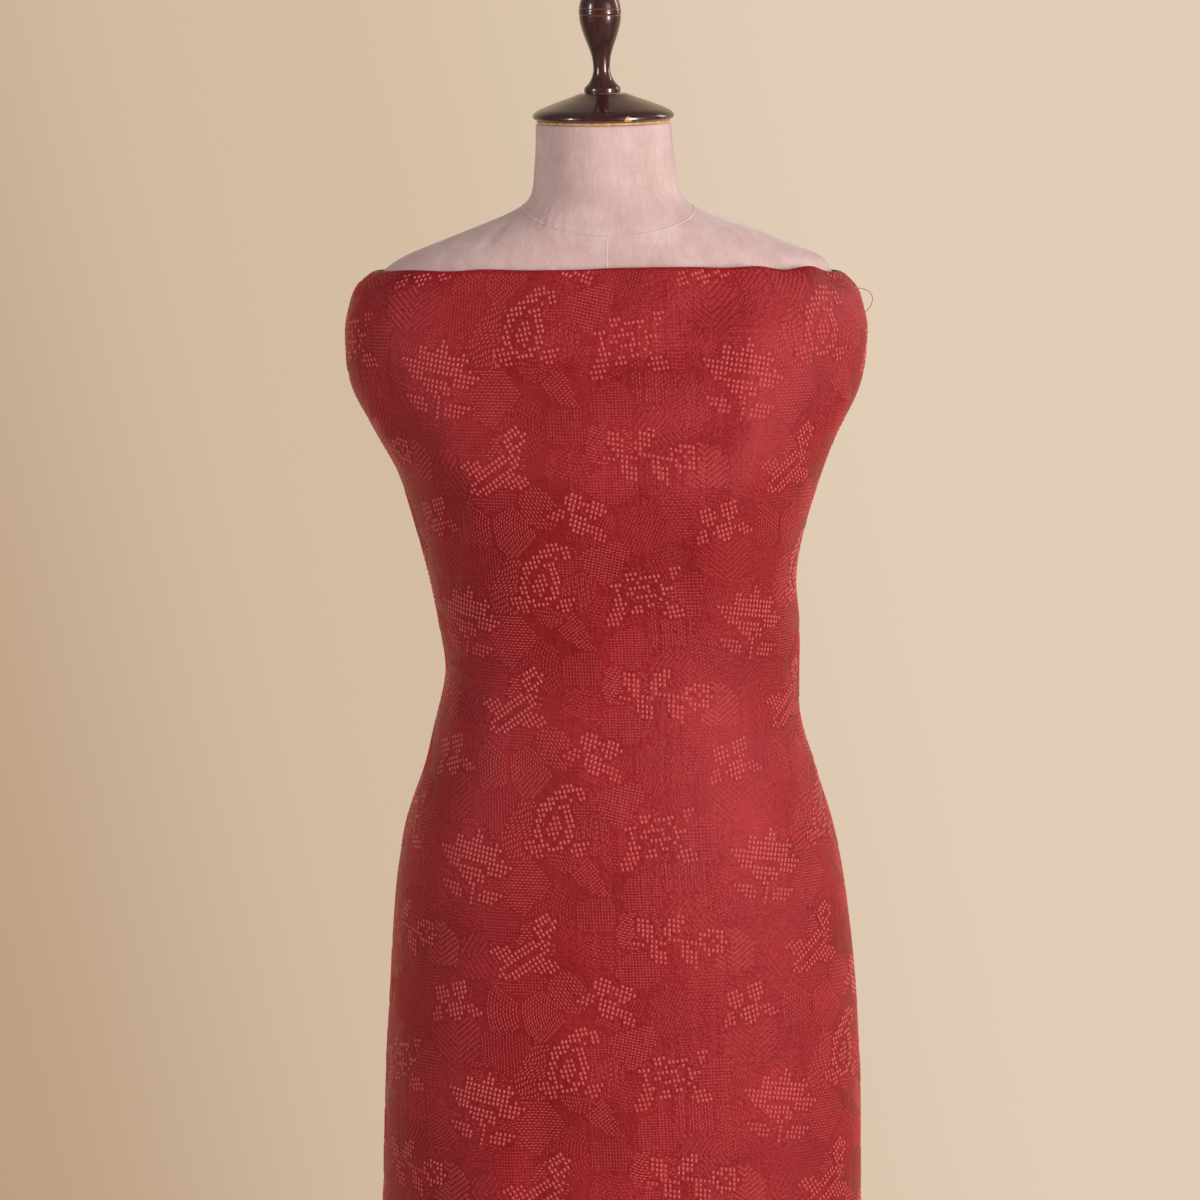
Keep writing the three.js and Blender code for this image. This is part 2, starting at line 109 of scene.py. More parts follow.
def swayOf(tree, noise, amount):
    # noise about nought, half the amount to either side
    return mathOf(tree, "MULTIPLY", mathOf(tree, "SUBTRACT", noise, 0.5), amount)


def bumpOf(tree, height, strength, distance, before=None):
    values = {"Height": height, "Strength": strength, "Distance": distance}
    if before:
        values["Normal"] = before
    return addNode(tree, "ShaderNodeBump", values).outputs["Normal"]


def mixOf(tree, share, under, colour):
    # a node of this kind has its two colours on inputs 6 and 7, and the mixed one on output 2
    values = {"Factor": share, 6: under, 7: (*colour, 1)}
    return addNode(tree, "ShaderNodeMix", values, data_type="RGBA").outputs[2]


def distanceTo(tree, place, spot):
    return addNode(tree, "ShaderNodeVectorMath", {0: place, 1: spot}, operation="DISTANCE").outputs["Value"]


def objectPlace(tree):
    place = addNode(tree, "ShaderNodeTexCoord").outputs["Object"]
    sized = addNode(tree, "ShaderNodeMapping", {"Vector": place, "Scale": (1 / mm, 1 / mm, 1 / mm)})
    return sized.outputs["Vector"]


# Camera, light and floor

studio = {
    "camera": (-0.0049, -5.0, 1.694),
    "target": (-0.0049, 0.0, 1.051),
    "frameWidth": 0.9,                   # metres across the picture at the target
    "sensor": 36,
    # backdrop: colours from left to right and a little upwards, over this span of directions; the darker
    # left is painted shade on the backdrop
    "backdropWay": (1, 0, 0.25), "backdropSpan": (-0.145, 0.035),
    "backdrop": [(0, (0.50, 0.35, 0.235)), (0.42, (0.66, 0.50, 0.365)), (1, (0.765, 0.617, 0.476))],
    # light from the room, and from the backdrop behind and below
    "surroundWay": (0.05, 0.93, -0.36), "surroundSpan": (-1, 1),
    "surround": [(0.66, (0.19, 0.17, 0.16)), (0.86, (0.60, 0.44, 0.29))],
    "floorRadius": 1.4, "floorDepth": -0.001,
    "floorColour": (0.66, 0.55, 0.44),
}

# name, place, aims at, width, height, power, colour
softboxes = [
    ("keyBox", (2.35, -2.05, 1.6), (0, 0, 0.95), 0.7, 1.6, 92, (1.0, 0.96, 0.93)),
    ("fillBox", (-2.5, -1.75, 1.9), (0, 0, 1.05), 0.4, 1.3, 34, (1.0, 0.96, 0.94)),
    ("rimBox", (2.3, 1.1, 2.2), (0, 0, 1.2), 0.5, 1.4, 14, (1.0, 0.98, 0.98)),
]


def aim(thing, target):
    direction = Vector(target) - thing.location
    thing.rotation_euler = direction.to_track_quat("-Z", "Y").to_euler()


def makeCamera():
    lens = bpy.data.cameras.new("camera")
    camera = bpy.data.objects.new("camera", lens)
    scene.collection.objects.link(camera)
    camera.location = studio["camera"]
    aim(camera, studio["target"])
    distance = (Vector(studio["target"]) - camera.location).length
    lens.sensor_width = studio["sensor"]
    lens.lens = studio["sensor"] * distance / studio["frameWidth"]
    lens.clip_end = 50
    scene.camera = camera


def colourAlong(tree, name, interpolation):
    # light from all round whose colour changes along one direction
    view = addNode(tree, "ShaderNodeTexCoord").outputs["Generated"]
    along = addNode(tree, "ShaderNodeVectorMath", {0: view, 1: studio[name + "Way"]},
                    operation="DOT_PRODUCT").outputs["Value"]
    low, high = studio[name + "Span"]
    spread = addNode(tree, "ShaderNodeMapRange", {"Value": along, "From Min": low, "From Max": high})
    colour = rampOf(tree, spread.outputs["Result"], studio[name], interpolation)
    return addNode(tree, "ShaderNodeBackground", {"Color": colour}).outputs["Background"]


def makeBackdrop():
    world = bpy.data.worlds.new("studioWorld")
    scene.world = world
    world.use_nodes = True
    tree = world.node_tree
    tree.nodes.clear()
    inView = addNode(tree, "ShaderNodeLightPath").outputs["Is Camera Ray"]
    mix = addNode(tree, "ShaderNodeMixShader", {"Fac": inView, 1: colourAlong(tree, "surround", "LINEAR"),
                                                2: colourAlong(tree, "backdrop", "EASE")})
    addNode(tree, "ShaderNodeOutputWorld", {"Surface": mix.outputs["Shader"]})


def makeSoftboxes():
    for name, place, target, width, height, power, colour in softboxes:
        light = bpy.data.lights.new(name, "AREA")
        light.shape = "RECTANGLE"
        light.size, light.size_y = width, height
        light.energy = power
        light.color = colour
        box = bpy.data.objects.new(name, light)
        scene.collection.objects.link(box)
        box.location = place
        aim(box, target)


def filledRing(name, sides, radius, place):
    bpy.ops.object.select_all(action="DESELECT")
    bpy.ops.mesh.primitive_circle_add(vertices=sides, radius=radius, fill_type="NGON", location=place)
    ring = bpy.context.object
    ring.name = name
    return ring


def makeFloor():
    floor = filledRing("studioFloor", 96, studio["floorRadius"], (0, 0, studio["floorDepth"]))
    paint = newMaterial("paleFloor")[0]
    finishMaterial(paint, {"Base Color": (*studio["floorColour"], 1), "Roughness": 0.8})
    floor.data.materials.append(paint)


scene.view_settings.view_transform = "Standard"
makeCamera()
makeBackdrop()
makeSoftboxes()
makeFloor()
print("studio ready")

# Sections of the wrapped cloth in millimetres, as in the part: power and behind are how square
# its front and back are, gathered is the share of the slack that goes into the folds behind

clothColumns = ("z", "left", "right", "front", "back", "power", "behind", "gathered")
clothSections = [
    (1300, 173, 174.5, 75, 91, 2.3, 2.3, 0.2),
    (1288, 186, 186, 79, 96, 2.35, 2.3, 0.2),
    (1270, 192, 192, 85, 102, 2.4, 2.3, 0.2),
    (1252, 194.5, 194, 92, 106, 2.4, 2.3, 0.2),
    (1215, 190.5, 189, 106, 111, 2.4, 2.35, 0.3),
    (1179, 171.5, 172, 120, 113, 2.45, 2.5, 0.4),
    (1150, 155.5, 160.5, 127, 112, 2.5, 2.6, 0.5),
    (1107, 142, 147.5, 120, 108, 2.45, 2.75, 0.6),
    (1071, 132.5, 141.5, 109, 104, 2.35, 2.85, 0.64),
    (1034, 125, 144, 101, 101, 2.25, 2.9, 0.66),
    (998, 120, 144, 99, 100, 2.2, 2.9, 0.66),
    (962, 127.5, 145.5, 103, 103, 2.2, 2.8, 0.64),
    (926, 136, 156, 109, 109, 2.2, 2.65, 0.6),
    (880, 151, 170.5, 116, 119, 2.2, 2.45, 0.5),
    (826, 158.5, 180.5, 120, 129, 2.2, 2.3, 0.35),
    (753, 163, 188, 120, 131, 2.2, 2.2, 0.25),
    (681, 166.5, 191.5, 119, 129, 2.2, 2.2, 0.25),
    (560, 169.5, 192, 119, 128, 2.2, 2.2, 0.3),
    (430, 172, 193.5, 120, 129, 2.2, 2.2, 0.3),
    (330, 173, 194, 121, 130, 2.2, 2.2, 0.3),
]
# folds behind: place (0 is the centre back, 1 the lap's end, 2 as far as folds go), width, share of
# the full height
backFolds = [(-9 / 6, 1, 0.66), (-4 / 6, 4 / 6, 0.95), (0, 4 / 6, 0.74), (4 / 6, 4 / 6, 1),
             (9 / 6, 1, 0.58)]

# along from the centre front, height, turn from level in degrees, length, width, rise
softFolds = [
    (-50, 1240, -3, 44, 12, -3.4),
    (40, 1241, 2, 60, 12, -3.4),
    (62, 1267, 24, 26, 14, -2.8),
    (62, 1190, 3, 46, 12, -3),
    (104, 1190, 86, 100, 17, 3.6),
    (-114, 1200, 96, 84, 18, 2.2),
    (172, 1212, 70, 46, 16, -3.4),
    (-172, 1208, 110, 46, 16, -2.8),
    (57, 1088, 90, 36, 9, -2.6),
    (-120, 1112, 78, 42, 14, -3),
    (-60, 915, 97, 74, 15, -1.6),
    (170, 868, 62, 42, 15, -3),
    (182, 908, 48, 30, 13, 3.4),
    (-52, 640, 90, 92, 14, -4),
    (-84, 500, 91, 190, 24, 4.5),
    (22, 440, 90, 170, 26, 4),
    (96, 470, 88, 180, 22, -4.5),
    (176, 450, 90, 180, 26, 5),
    (-176, 460, 90, 170, 24, -4),
    (-290, 440, 90, 180, 30, 6),
    (292, 430, 90, 180, 30, 6),
    (380, 450, 90, 170, 24, -5),
]

# along the top edge from the centre front, and how far it rises there
edgeHeights = [
    (-260, 0), (-205, -1.8), (-177, -2.1), (-150, -1.4), (-116, -2.3), (-92, -0.9), (-66, -1.5),
    (-22, -1.2), (5, 0.1), (62, 0.9), (88, 0.4), (113, 1.5), (134, -1), (157, 1.7), (174, -2.2),
    (208, -1.8), (260, 0),
]
cloth = {
    "width": 1067, "top": 1300, "hem": 330,
    "lapLeast": 112, "lapGap": 5,
    "lapRamp": 70, "lapFlat": 4,         # how far before the lap the upper layer starts to rise, and is up
    "frontEdgeRise": 6, "edgeFront": 75,             # rise of the top edge where it is so far in front
    "edgeRiseDepth": 60, "easedAbove": 1258,
    "backReachShare": 0.176,
    "foldMost": 50, "foldTries": 16,     # most height of the folds behind, and halvings to find it
    "cell": 5.0,                         # size of one square of the sheet
    "halfThickness": 0.35,
    "turnedIn": 30, "turnRadius": 1.1,   # the top edge, folded in
    "hemDepth": 12, "hemHalf": 0.85,
    "rowsOutside": 188,
    "pucker": (0.30, (2.4, 2.0)),        # height, and shortest waves down and across in cells
    "swell": (0.35, (14, 5)),
    "puckerSeed": 11,
}


def sectionTable(columns, rows):
    ordered = sorted(rows)
    return {name: np.array([row[k] for row in ordered], float) for k, name in enumerate(columns)}


def columnAt(table, name, z):
    heights, values = table["z"], table[name]
    last = len(heights) - 1
    z = np.clip(z, heights[0], heights[last])
    i = np.clip(np.searchsorted(heights, z, side="right") - 1, 0, last - 1)
    before, after = np.maximum(i - 1, 0), np.minimum(i + 2, last)
    step = heights[i + 1] - heights[i]
    here = (values[i + 1] - values[before]) / (heights[i + 1] - heights[before]) * step
    there = (values[after] - values[i]) / (heights[after] - heights[i]) * step
    t = (z - heights[i]) / step
    return (values[i] * (2 * t**3 - 3 * t**2 + 1) + values[i + 1] * (3 * t**2 - 2 * t**3)
            + here * (t**3 - 2 * t**2 + t) + there * (t**3 - t**2))


def sectionPoint(size, angle):
    power = np.where(np.cos(angle) < 0, size["behind"], size["power"])
    across = np.sign(np.sin(angle)) * np.abs(np.sin(angle)) ** (2 / power)
    deep = -np.sign(np.cos(angle)) * np.abs(np.cos(angle)) ** (2 / power)
    return (across * np.where(across > 0, size["right"], size["left"]),
            deep * np.where(deep > 0, size["back"], size["front"]))


def smoothStep(value, low, high):
    t = np.clip((value - low) / (high - low), 0, 1)
    return t * t * (3 - 2 * t)


def walkedAlong(x, y):
    return np.concatenate([[0], np.cumsum(np.hypot(np.diff(x), np.diff(y)))])


def levelOutline(size, steps=720):
    # even steps round one level of a body, with the way out from it at each
    x, y = sectionPoint(size, np.linspace(0, 2 * np.pi, 4 * steps + 1))
    reach = walkedAlong(x, y)
    even = np.linspace(0, reach[-1], steps + 1)
    x, y = np.interp(even, reach, x), np.interp(even, reach, y)
    dx = np.roll(x[:-1], -1) - np.roll(x[:-1], 1)
    dy = np.roll(y[:-1], -1) - np.roll(y[:-1], 1)
    long = np.hypot(dx, dy)
    outX, outY = np.append(dy / long, dy[0] / long[0]), np.append(-dx / long, -dx[0] / long[0])
    return {"around": reach[-1], "even": even, "x": x, "y": y, "outX": outX, "outY": outY}


def softFoldAt(along, z, folds):
    total = np.zeros_like(along)
    for foldAlong, foldZ, turn, length, width, rise in folds:
        c, s = math.cos(math.radians(turn)), math.sin(math.radians(turn))
        down = ((along - foldAlong) * c + (z - foldZ) * s) / length
        across = (-(along - foldAlong) * s + (z - foldZ) * c) / width
        total += rise * np.exp(-(down**2) - across**2)
    return total


def backFoldAt(place):
    total = np.zeros_like(place)
    for at, width, share in backFolds:
        t = (place - at) / (width / 2)
        total += np.where(np.abs(t) < 1, share * (0.5 + 0.5 * np.cos(np.pi * np.clip(t, -1, 1))), 0)
    return total


def clothOutline(table, z):
    return levelOutline({name: columnAt(table, name, z) for name in clothColumns[1:7]})


def clothLevel(table, z, flat):
    outline = clothOutline(table, z)
    around = outline["around"]
    eased = clothOutline(table, cloth["easedAbove"])["around"] if z > cloth["easedAbove"] else around
    slack = max(0, cloth["width"] - cloth["lapLeast"] - eased)
    lap = (cloth["width"] - eased - slack * columnAt(table, "gathered", z)) / 2
    end = around / 2 + lap
    reach = cloth["backReachShare"] * around

    def foldedAt(along, foldHeight, extra):
        side = np.where(along > 0, around / 2 - along, -around / 2 - along)
        ramp = smoothStep(-side, -lap - cloth["lapRamp"], -lap - cloth["lapFlat"])
        lift = np.where(along > 0, cloth["lapGap"] * ramp, 0)
        place = np.sign(side) * (np.minimum(np.abs(side) / lap, 1)
                                 + np.maximum(0, np.abs(side) - lap) / (reach - lap))
        out = lift + foldHeight * backFoldAt(place) + extra
        x, y, outX, outY = (np.interp(np.mod(along, around), outline["even"], outline[name])
                            for name in ("x", "y", "outX", "outY"))
        return x + out * outX, y + out * outY

    along = np.linspace(-end, end, 1200)
    width = cloth["width"] - eased + around
    low, high = 0.0, cloth["foldMost"]
    for _ in range(cloth["foldTries"]):
        middle = (low + high) / 2
        x, y = foldedAt(along, middle, 0)
        low, high = (middle, high) if np.hypot(np.diff(x), np.diff(y)).sum() < width else (low, middle)
    walked = walkedAlong(*foldedAt(along, low, 0))
    wanted = np.interp((flat / cloth["width"] + 0.5) * walked[-1], walked, along)
    return wanted, lambda extra: foldedAt(wanted, low, extra), lap


def puckerField(rows, columns, seed, height, waves):
    rng = np.random.default_rng(seed)
    field = np.fft.fft2(rng.standard_normal((rows, columns)))
    fy, fx = np.meshgrid(np.fft.fftfreq(rows), np.fft.fftfreq(columns), indexing="ij")
    longRow, longColumn = waves
    field = np.real(np.fft.ifft2(field * np.exp(-((fy * longRow) ** 2) - (fx * longColumn) ** 2)))
    return height * (field / np.abs(field).max())


def clothRowsDown():
    r = cloth["turnRadius"]
    crest = [-1.57 * r, -0.8 * r, 0, 0.8 * r, 1.57 * r, 3.2]
    inside = list(np.arange(-cloth["turnedIn"], -4, cloth["cell"]))
    length = cloth["top"] - cloth["hem"]
    outside = list(np.linspace(cloth["cell"] + 1, length - cloth["hemDepth"] - 1.2, cloth["rowsOutside"]))
    hem = [length - cloth["hemDepth"], length - 6, length - 1.2, length]
    return np.array(inside + crest + outside + hem)


def clothGrid():
    table = sectionTable(clothColumns, clothSections)
    edge = sectionTable(("z", "rise"), edgeHeights)
    flat = np.linspace(-cloth["width"] / 2, cloth["width"] / 2, round(cloth["width"] / cloth["cell"]) + 1)
    down = clothRowsDown()
    pucker = puckerField(len(down), len(flat), cloth["puckerSeed"], *cloth["pucker"])
    pucker += puckerField(len(down), len(flat), cloth["puckerSeed"] + 1, *cloth["swell"])
    grid = np.zeros((len(down), len(flat), 3))
    laps = np.zeros(len(down))
    r = cloth["turnRadius"]
    for k, v in enumerate(down):
        phi = np.clip(v / r, -np.pi / 2, np.pi / 2)
        inward = -r + r * math.sin(phi)              # 0 outside, -2r on the turned-in part
        z = cloth["top"] - (r - r * math.cos(phi)) - max(0, abs(v) - np.pi / 2 * r)
        along, place, laps[k] = clothLevel(table, z, flat)
        x, y = place(softFoldAt(along, z, softFolds) + pucker[k] + inward)
        fade = math.exp(-(((cloth["top"] - z) / cloth["edgeRiseDepth"]) ** 2))
        rise = cloth["frontEdgeRise"] * -y / cloth["edgeFront"] + columnAt(edge, "rise", along)
        grid[k] = np.stack([x, y, z + rise * fade], axis=1)
    return grid, down, flat, laps


def gridNormals(grid):
    across = np.gradient(grid, axis=1)
    down = np.gradient(grid, axis=0)
    normals = np.cross(down, across)
    return normals / np.linalg.norm(normals, axis=2, keepdims=True)


def newMesh(name, points, faces, flatUv):
    mesh = bpy.data.meshes.new(name)
    mesh.from_pydata(points.tolist(), [], faces)
    layer = mesh.uv_layers.new(name="OFBake")
    corner = np.zeros(len(mesh.loops), np.int32)
    mesh.loops.foreach_get("vertex_index", corner)
    layer.data.foreach_set("uv", flatUv[corner].astype(np.float32).ravel())
    mesh.polygons.foreach_set("use_smooth", [True] * len(mesh.polygons))
    mesh.update()
    piece = bpy.data.objects.new(name, mesh)
    scene.collection.objects.link(piece)
    return piece


def storeNumbers(piece, name, values):
    # one number at each point, which the materials read by name
    layer = piece.data.attributes.new(name, "FLOAT", "POINT")
    layer.data.foreach_set("value", np.asarray(values, np.float32))


def closedSheet(name, grid, half, flatUv):
    rows, columns = grid.shape[:2]
    normals = gridNormals(grid)
    outward = normals * half[:, None, None]
    points = np.concatenate([(grid + outward).reshape(-1, 3), (grid - outward).reshape(-1, 3)])
    index = np.arange(rows * columns).reshape(rows, columns)
    inner = rows * columns
    a, b, c, d = index[:-1, :-1], index[:-1, 1:], index[1:, 1:], index[1:, :-1]
    faces = np.stack([d, c, b, a], axis=-1).reshape(-1, 4).tolist()
    faces += (np.stack([a, b, c, d], axis=-1) + inner).reshape(-1, 4).tolist()
    rim = [(index[0, k], index[0, k + 1]) for k in range(columns - 1)]
    rim += [(index[k, -1], index[k + 1, -1]) for k in range(rows - 1)]
    rim += [(index[-1, k + 1], index[-1, k]) for k in range(columns - 1)]
    rim += [(index[k + 1, 0], index[k, 0]) for k in range(rows - 1)]
    faces += [(int(p), int(q), int(q) + inner, int(p) + inner) for p, q in rim]
    uv = flatUv.reshape(-1, 2)
    return newMesh(name, points * mm, faces, np.concatenate([uv, uv])), grid + outward, normals


def makeCloth():
    grid, down, flat, laps = clothGrid()
    length = cloth["top"] - cloth["hem"]
    depthUp = length - down
    half = np.where(depthUp < cloth["hemDepth"] + 0.2, cloth["hemHalf"], cloth["halfThickness"])
    half[-1] = cloth["hemHalf"] * 0.6
    span = length + cloth["turnedIn"]
    uv = np.zeros(grid.shape[:2] + (2,))
    uv[..., 0] = flat / cloth["width"] + 0.5
    uv[..., 1] = ((length - down) / span)[:, None]
    sheet, outer, normals = closedSheet("silkCloth", grid, half, uv)
    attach(sheet, "root")
    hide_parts("cloth")
    return sheet, {"grid": outer, "normals": normals, "down": down, "flat": flat, "span": span,
                   "length": length, "laps": laps}


clothSheet, surface = makeCloth()
print("cloth", len(clothSheet.data.polygons), "faces")

# Embroidery: patches of running stitch in rows, and dotted flowers and leaves between them

embroidery = {
    "tile": (225, 180),                  # repeat across and down
    "drift": 0.06,                       # how far the repeat slants as it goes down
    "start": (-38, 12),
    "selvedge": 9, "topMargin": 2.5, "hemMargin": 15, "hiddenPast": 22,
    "dotPitch": (3.3, 3.6),
    "dot": (2.0, 2.7, 0.5),              # width, length, height of a motif's dot
    "line": (0.98, 0.5),                 # width, height of a stitch in the rows
    "motifScale": 0.8,
    "halo": 2.9,                         # ground left bare round a motif's dots
    "patchSpacing": 25, "patchGap": 1.3, "patchTries": 900, "patchReach": 28,
    "patchLong": (14, 23), "patchWide": (11, 18),    # half sizes, from least to most
    "patchTurns": [0, 0, 90, 90, 32, -38, 55, -64, 14],
    "leafStretch": (1.5, 1.15),
    "rowPitch": (1.95, 2.6), "stitchGap": (0.75, 1.05),
    "dash": (1.7, 2.7), "gridDash": (1.3, 1.8), "seedDash": 1.2,
    "wave": (2.6, 26), "chevron": 0.7, "arcReach": 1.3, "blockStep": (11.5, 10.5), "block": (9, 8.2),
    "tones": [0.12, 0.28, 0.42, 0.55, 0.68, 0.82], "toneShares": [0.15, 0.18, 0.2, 0.2, 0.16, 0.11],
    "unevenness": (0.12, 0.12, 0.05),    # across, down, turn
    "seed": 12,
}

# Each motif on one grid of dots: a part's shape, middle across and down, half length, half width,
# turn in degrees, and tone, where 0 leaves the dots out
motifs = {
    "rosette": [
        ("bloom", 0, 0, 29, 22, 0, 0.95), ("disc", 0, 0, 20, 13.6, 0, 0),
        ("bloom", 0, 0, 14, 9.6, 20, 0.8), ("disc", 0, 0, 4.4, 3.4, 0, 0),
        ("leaf", -28, 21, 14, 7, -40, 0.75), ("leaf", 27, 22, 15, 7, 34, 0.85),
        ("disc", -12, 14, 3.4, 5, 40, 0), ("disc", 15, 15, 3.4, 5, -30, 0),
        ("leaf", 34, -14, 9, 5, -55, 0.7),
    ],
    "mango": [
        ("disc", 0, 5, 19, 25, 24, 1.0), ("leaf", 16, -20, 15, 8, -22, 0.9),
        ("disc", -1, 7, 11.5, 17, 24, 0), ("leaf", -1, 8, 13, 7, -66, 0.8),
        ("leaf", 13, -14, 12, 2.6, -20, 0), ("disc", 30, -19, 6, 6, 0, 0.85),
        ("leaf", -24, 24, 13, 6, 44, 0.7), ("leaf", 18, 30, 12, 6, -24, 0.8),
    ],
    "fan": [
        ("leaf", -22, -7, 17, 8, 26, 0.85), ("leaf", -11, -16, 17, 7.6, 60, 0.95),
        ("leaf", 3, -20, 17, 7.6, 88, 1.0), ("leaf", 17, -15, 17, 7.6, -58, 0.95),
        ("leaf", 26, -5, 16, 8, -24, 0.85), ("disc", 2, -3, 15, 4.4, 0, 0), ("disc", 1, 6, 15, 8, 0, 0.9),
        ("leaf", 2, 7, 8, 2.2, 0, 0), ("leaf", -19, 21, 15, 6.4, 22, 0.7),
        ("leaf", 20, 22, 14, 6, -26, 0.75), ("stem", 1, 22, 2, 10, 0, 0.7),
    ],
    "sprig": [
        ("stem", -22, 5, 20, 2.2, -14, 0.75), ("stem", 8, 0, 17, 2.2, -6, 0.75),
        ("leaf", -31, -7, 13, 7, 50, 0.9), ("leaf", -16, 17, 14, 7, 40, 0.85),
        ("leaf", -6, -13, 14, 7, -52, 0.95), ("leaf", 12, 13, 14, 7, 46, 0.85),
        ("bloom", 31, -4, 16, 14, 0, 1.0), ("disc", 31, -4, 7, 5.6, 0, 0),
        ("disc", 31, -4, 2.6, 2, 0, 0.8),
    ],
    "clover": [
        ("disc", -10, -8, 9.4, 9, 0, 0.85), ("disc", 11, -8, 9.4, 9, 0, 0.9),
        ("disc", 0, 10, 10, 10, 0, 0.95), ("disc", 0, -1, 3.6, 4.4, 0, 0),
        ("leaf", 19, 14, 12, 6, 36, 0.7), ("leaf", -21, 10, 10, 5, -40, 0.7),
    ],
    "frond": [
        ("leaf", 0, 0, 32, 13, 0, 0.8), ("stem", -2, 0, 22, 1.9, 0, 0),
        ("leaf", -13, -16, 15, 6, 34, 0.7), ("leaf", 13, 16, 15, 6, 32, 0.7),
        ("bloom", 36, -15, 13, 12, 0, 0.95), ("disc", 36, -15, 4, 3, 0, 0),
    ],
}

# motif, middle across and down the repeat, turn in degrees, slant of its rows
motifPlaces = [
    ("rosette", 47, 38, -7, 0.1),
    ("fan", 132, 66, 9, -0.08),
    ("mango", 198, 26, -10, 0.06),
    ("sprig", 60, 116, 10, 0.12),
    ("frond", 170, 131, -34, -0.1),
    ("clover", 8, 158, 20, 0.08),
    ("clover", 110, 165, -16, -0.12),
]
patchShapes = ["block", "block", "slant", "leaf", "disc", "wedge", "cell", "cell", "cell", "cell"]
rowKinds = ["rows", "rows", "grid", "grid", "grid", "waves", "arcs", "arcs", "chevron", "blocks", "seeds"]


def turnedBy(x, y, turn):
    return x * math.cos(turn) - y * math.sin(turn), x * math.sin(turn) + y * math.cos(turn)


def insideShape(shape, x, y, long, wide):
    # a cell fills its whole place, and blocks and stems are plain oblongs
    if shape == "cell":
        return np.ones(len(x), bool)
    if shape == "disc":
        return (x / long) ** 2 + (y / wide) ** 2 < 1
    if shape == "bloom":
        return np.hypot(x / long, y / wide) < 0.87 + 0.13 * np.cos(7 * np.arctan2(y / wide, x / long))
    if shape == "leaf":
        return np.abs(y) < wide * (1 - (x / long) ** 2)
    if shape == "slant":
        return (np.abs(x - 0.5 * y) < long) & (np.abs(y) < wide)
    if shape == "wedge":
        return (np.abs(x) < 1.2 * long) & (np.abs(y) < wide * (0.6 + 0.45 * x / long))
    return (np.abs(x) < long) & (np.abs(y) < wide)


def motifDots():
    pitchX, pitchY = embroidery["dotPitch"]
    scale = embroidery["motifScale"]
    i, j = (a.ravel() for a in np.meshgrid(np.arange(-16, 17), np.arange(-12, 13)))
    dots = []
    for name, middleX, middleY, turn, slant in motifPlaces:
        x, y = i * pitchX + slant * j * pitchY, j * pitchY
        tones = np.zeros(len(x))
        for shape, partX, partY, long, wide, partTurn, tone in motifs[name]:
            near = turnedBy(x / scale - partX, y / scale - partY, -math.radians(partTurn))
            inside = insideShape(shape, *near, long, wide)
            tones[inside] = tone
        laid = tones > 0
        x, y = turnedBy(x[laid], y[laid], math.radians(turn))
        way = np.full(len(x), math.radians(turn) + math.pi / 2 - 1.4 * slant)
        dots.append(np.column_stack([x + middleX, y + middleY, way, tones[laid]]))
    return np.concatenate(dots)


def stitchLines(kind, pitch, period, span):
    reach, steps = int(span / pitch), int(span / period)
    j, k = (a.ravel().astype(float) for a in np.meshgrid(np.arange(-reach, reach + 1),
                                                         np.arange(-steps, steps + 1)))
    x, y, turn = k * period + period / 2 * (j % 2), j * pitch, np.zeros(len(j))
    if kind == "grid":
        x = k * period
    if kind == "waves":
        high, long = embroidery["wave"]
        y = y + high * np.sin(x / long * 2 * np.pi)
        turn = np.arctan(high * 2 * np.pi / long * np.cos(x / long * 2 * np.pi))
    if kind == "chevron":
        y = y + embroidery["chevron"] * np.abs(x)
        turn = np.sign(x) * math.atan(embroidery["chevron"])
    if kind == "seeds":
        x, y = x + 0.5 * np.sin(j * 7.3 + k * 3.1), y + 0.4 * np.sin(j * 2.7 + k * 5.9)
        turn = 0.9 * np.sin(j * 5.1 + k * 2.3)
    if kind == "arcs":
        radius = (j + reach + 4) * pitch
        angle = (k + 0.5 * (j % 2)) * period / radius
        x, y, turn = radius * np.sin(angle), radius * np.cos(angle) - span - 2 * pitch, -angle
        keep = np.abs(angle) < embroidery["arcReach"]
        return x[keep], y[keep], turn[keep]
    if kind == "blocks":
        (stepX, stepY), (long, wide) = embroidery["blockStep"], embroidery["block"]
        keep = (x % stepX < long) & (y % stepY < wide)
        return x[keep], y[keep], turn[keep]
    return x, y, turn


def wrapped(first, second):
    tileX, tileY = embroidery["tile"]
    return np.hypot((first[:, None, 0] - second[None, :, 0] + tileX / 2) % tileX - tileX / 2,
                    (first[:, None, 1] - second[None, :, 1] + tileY / 2) % tileY - tileY / 2)


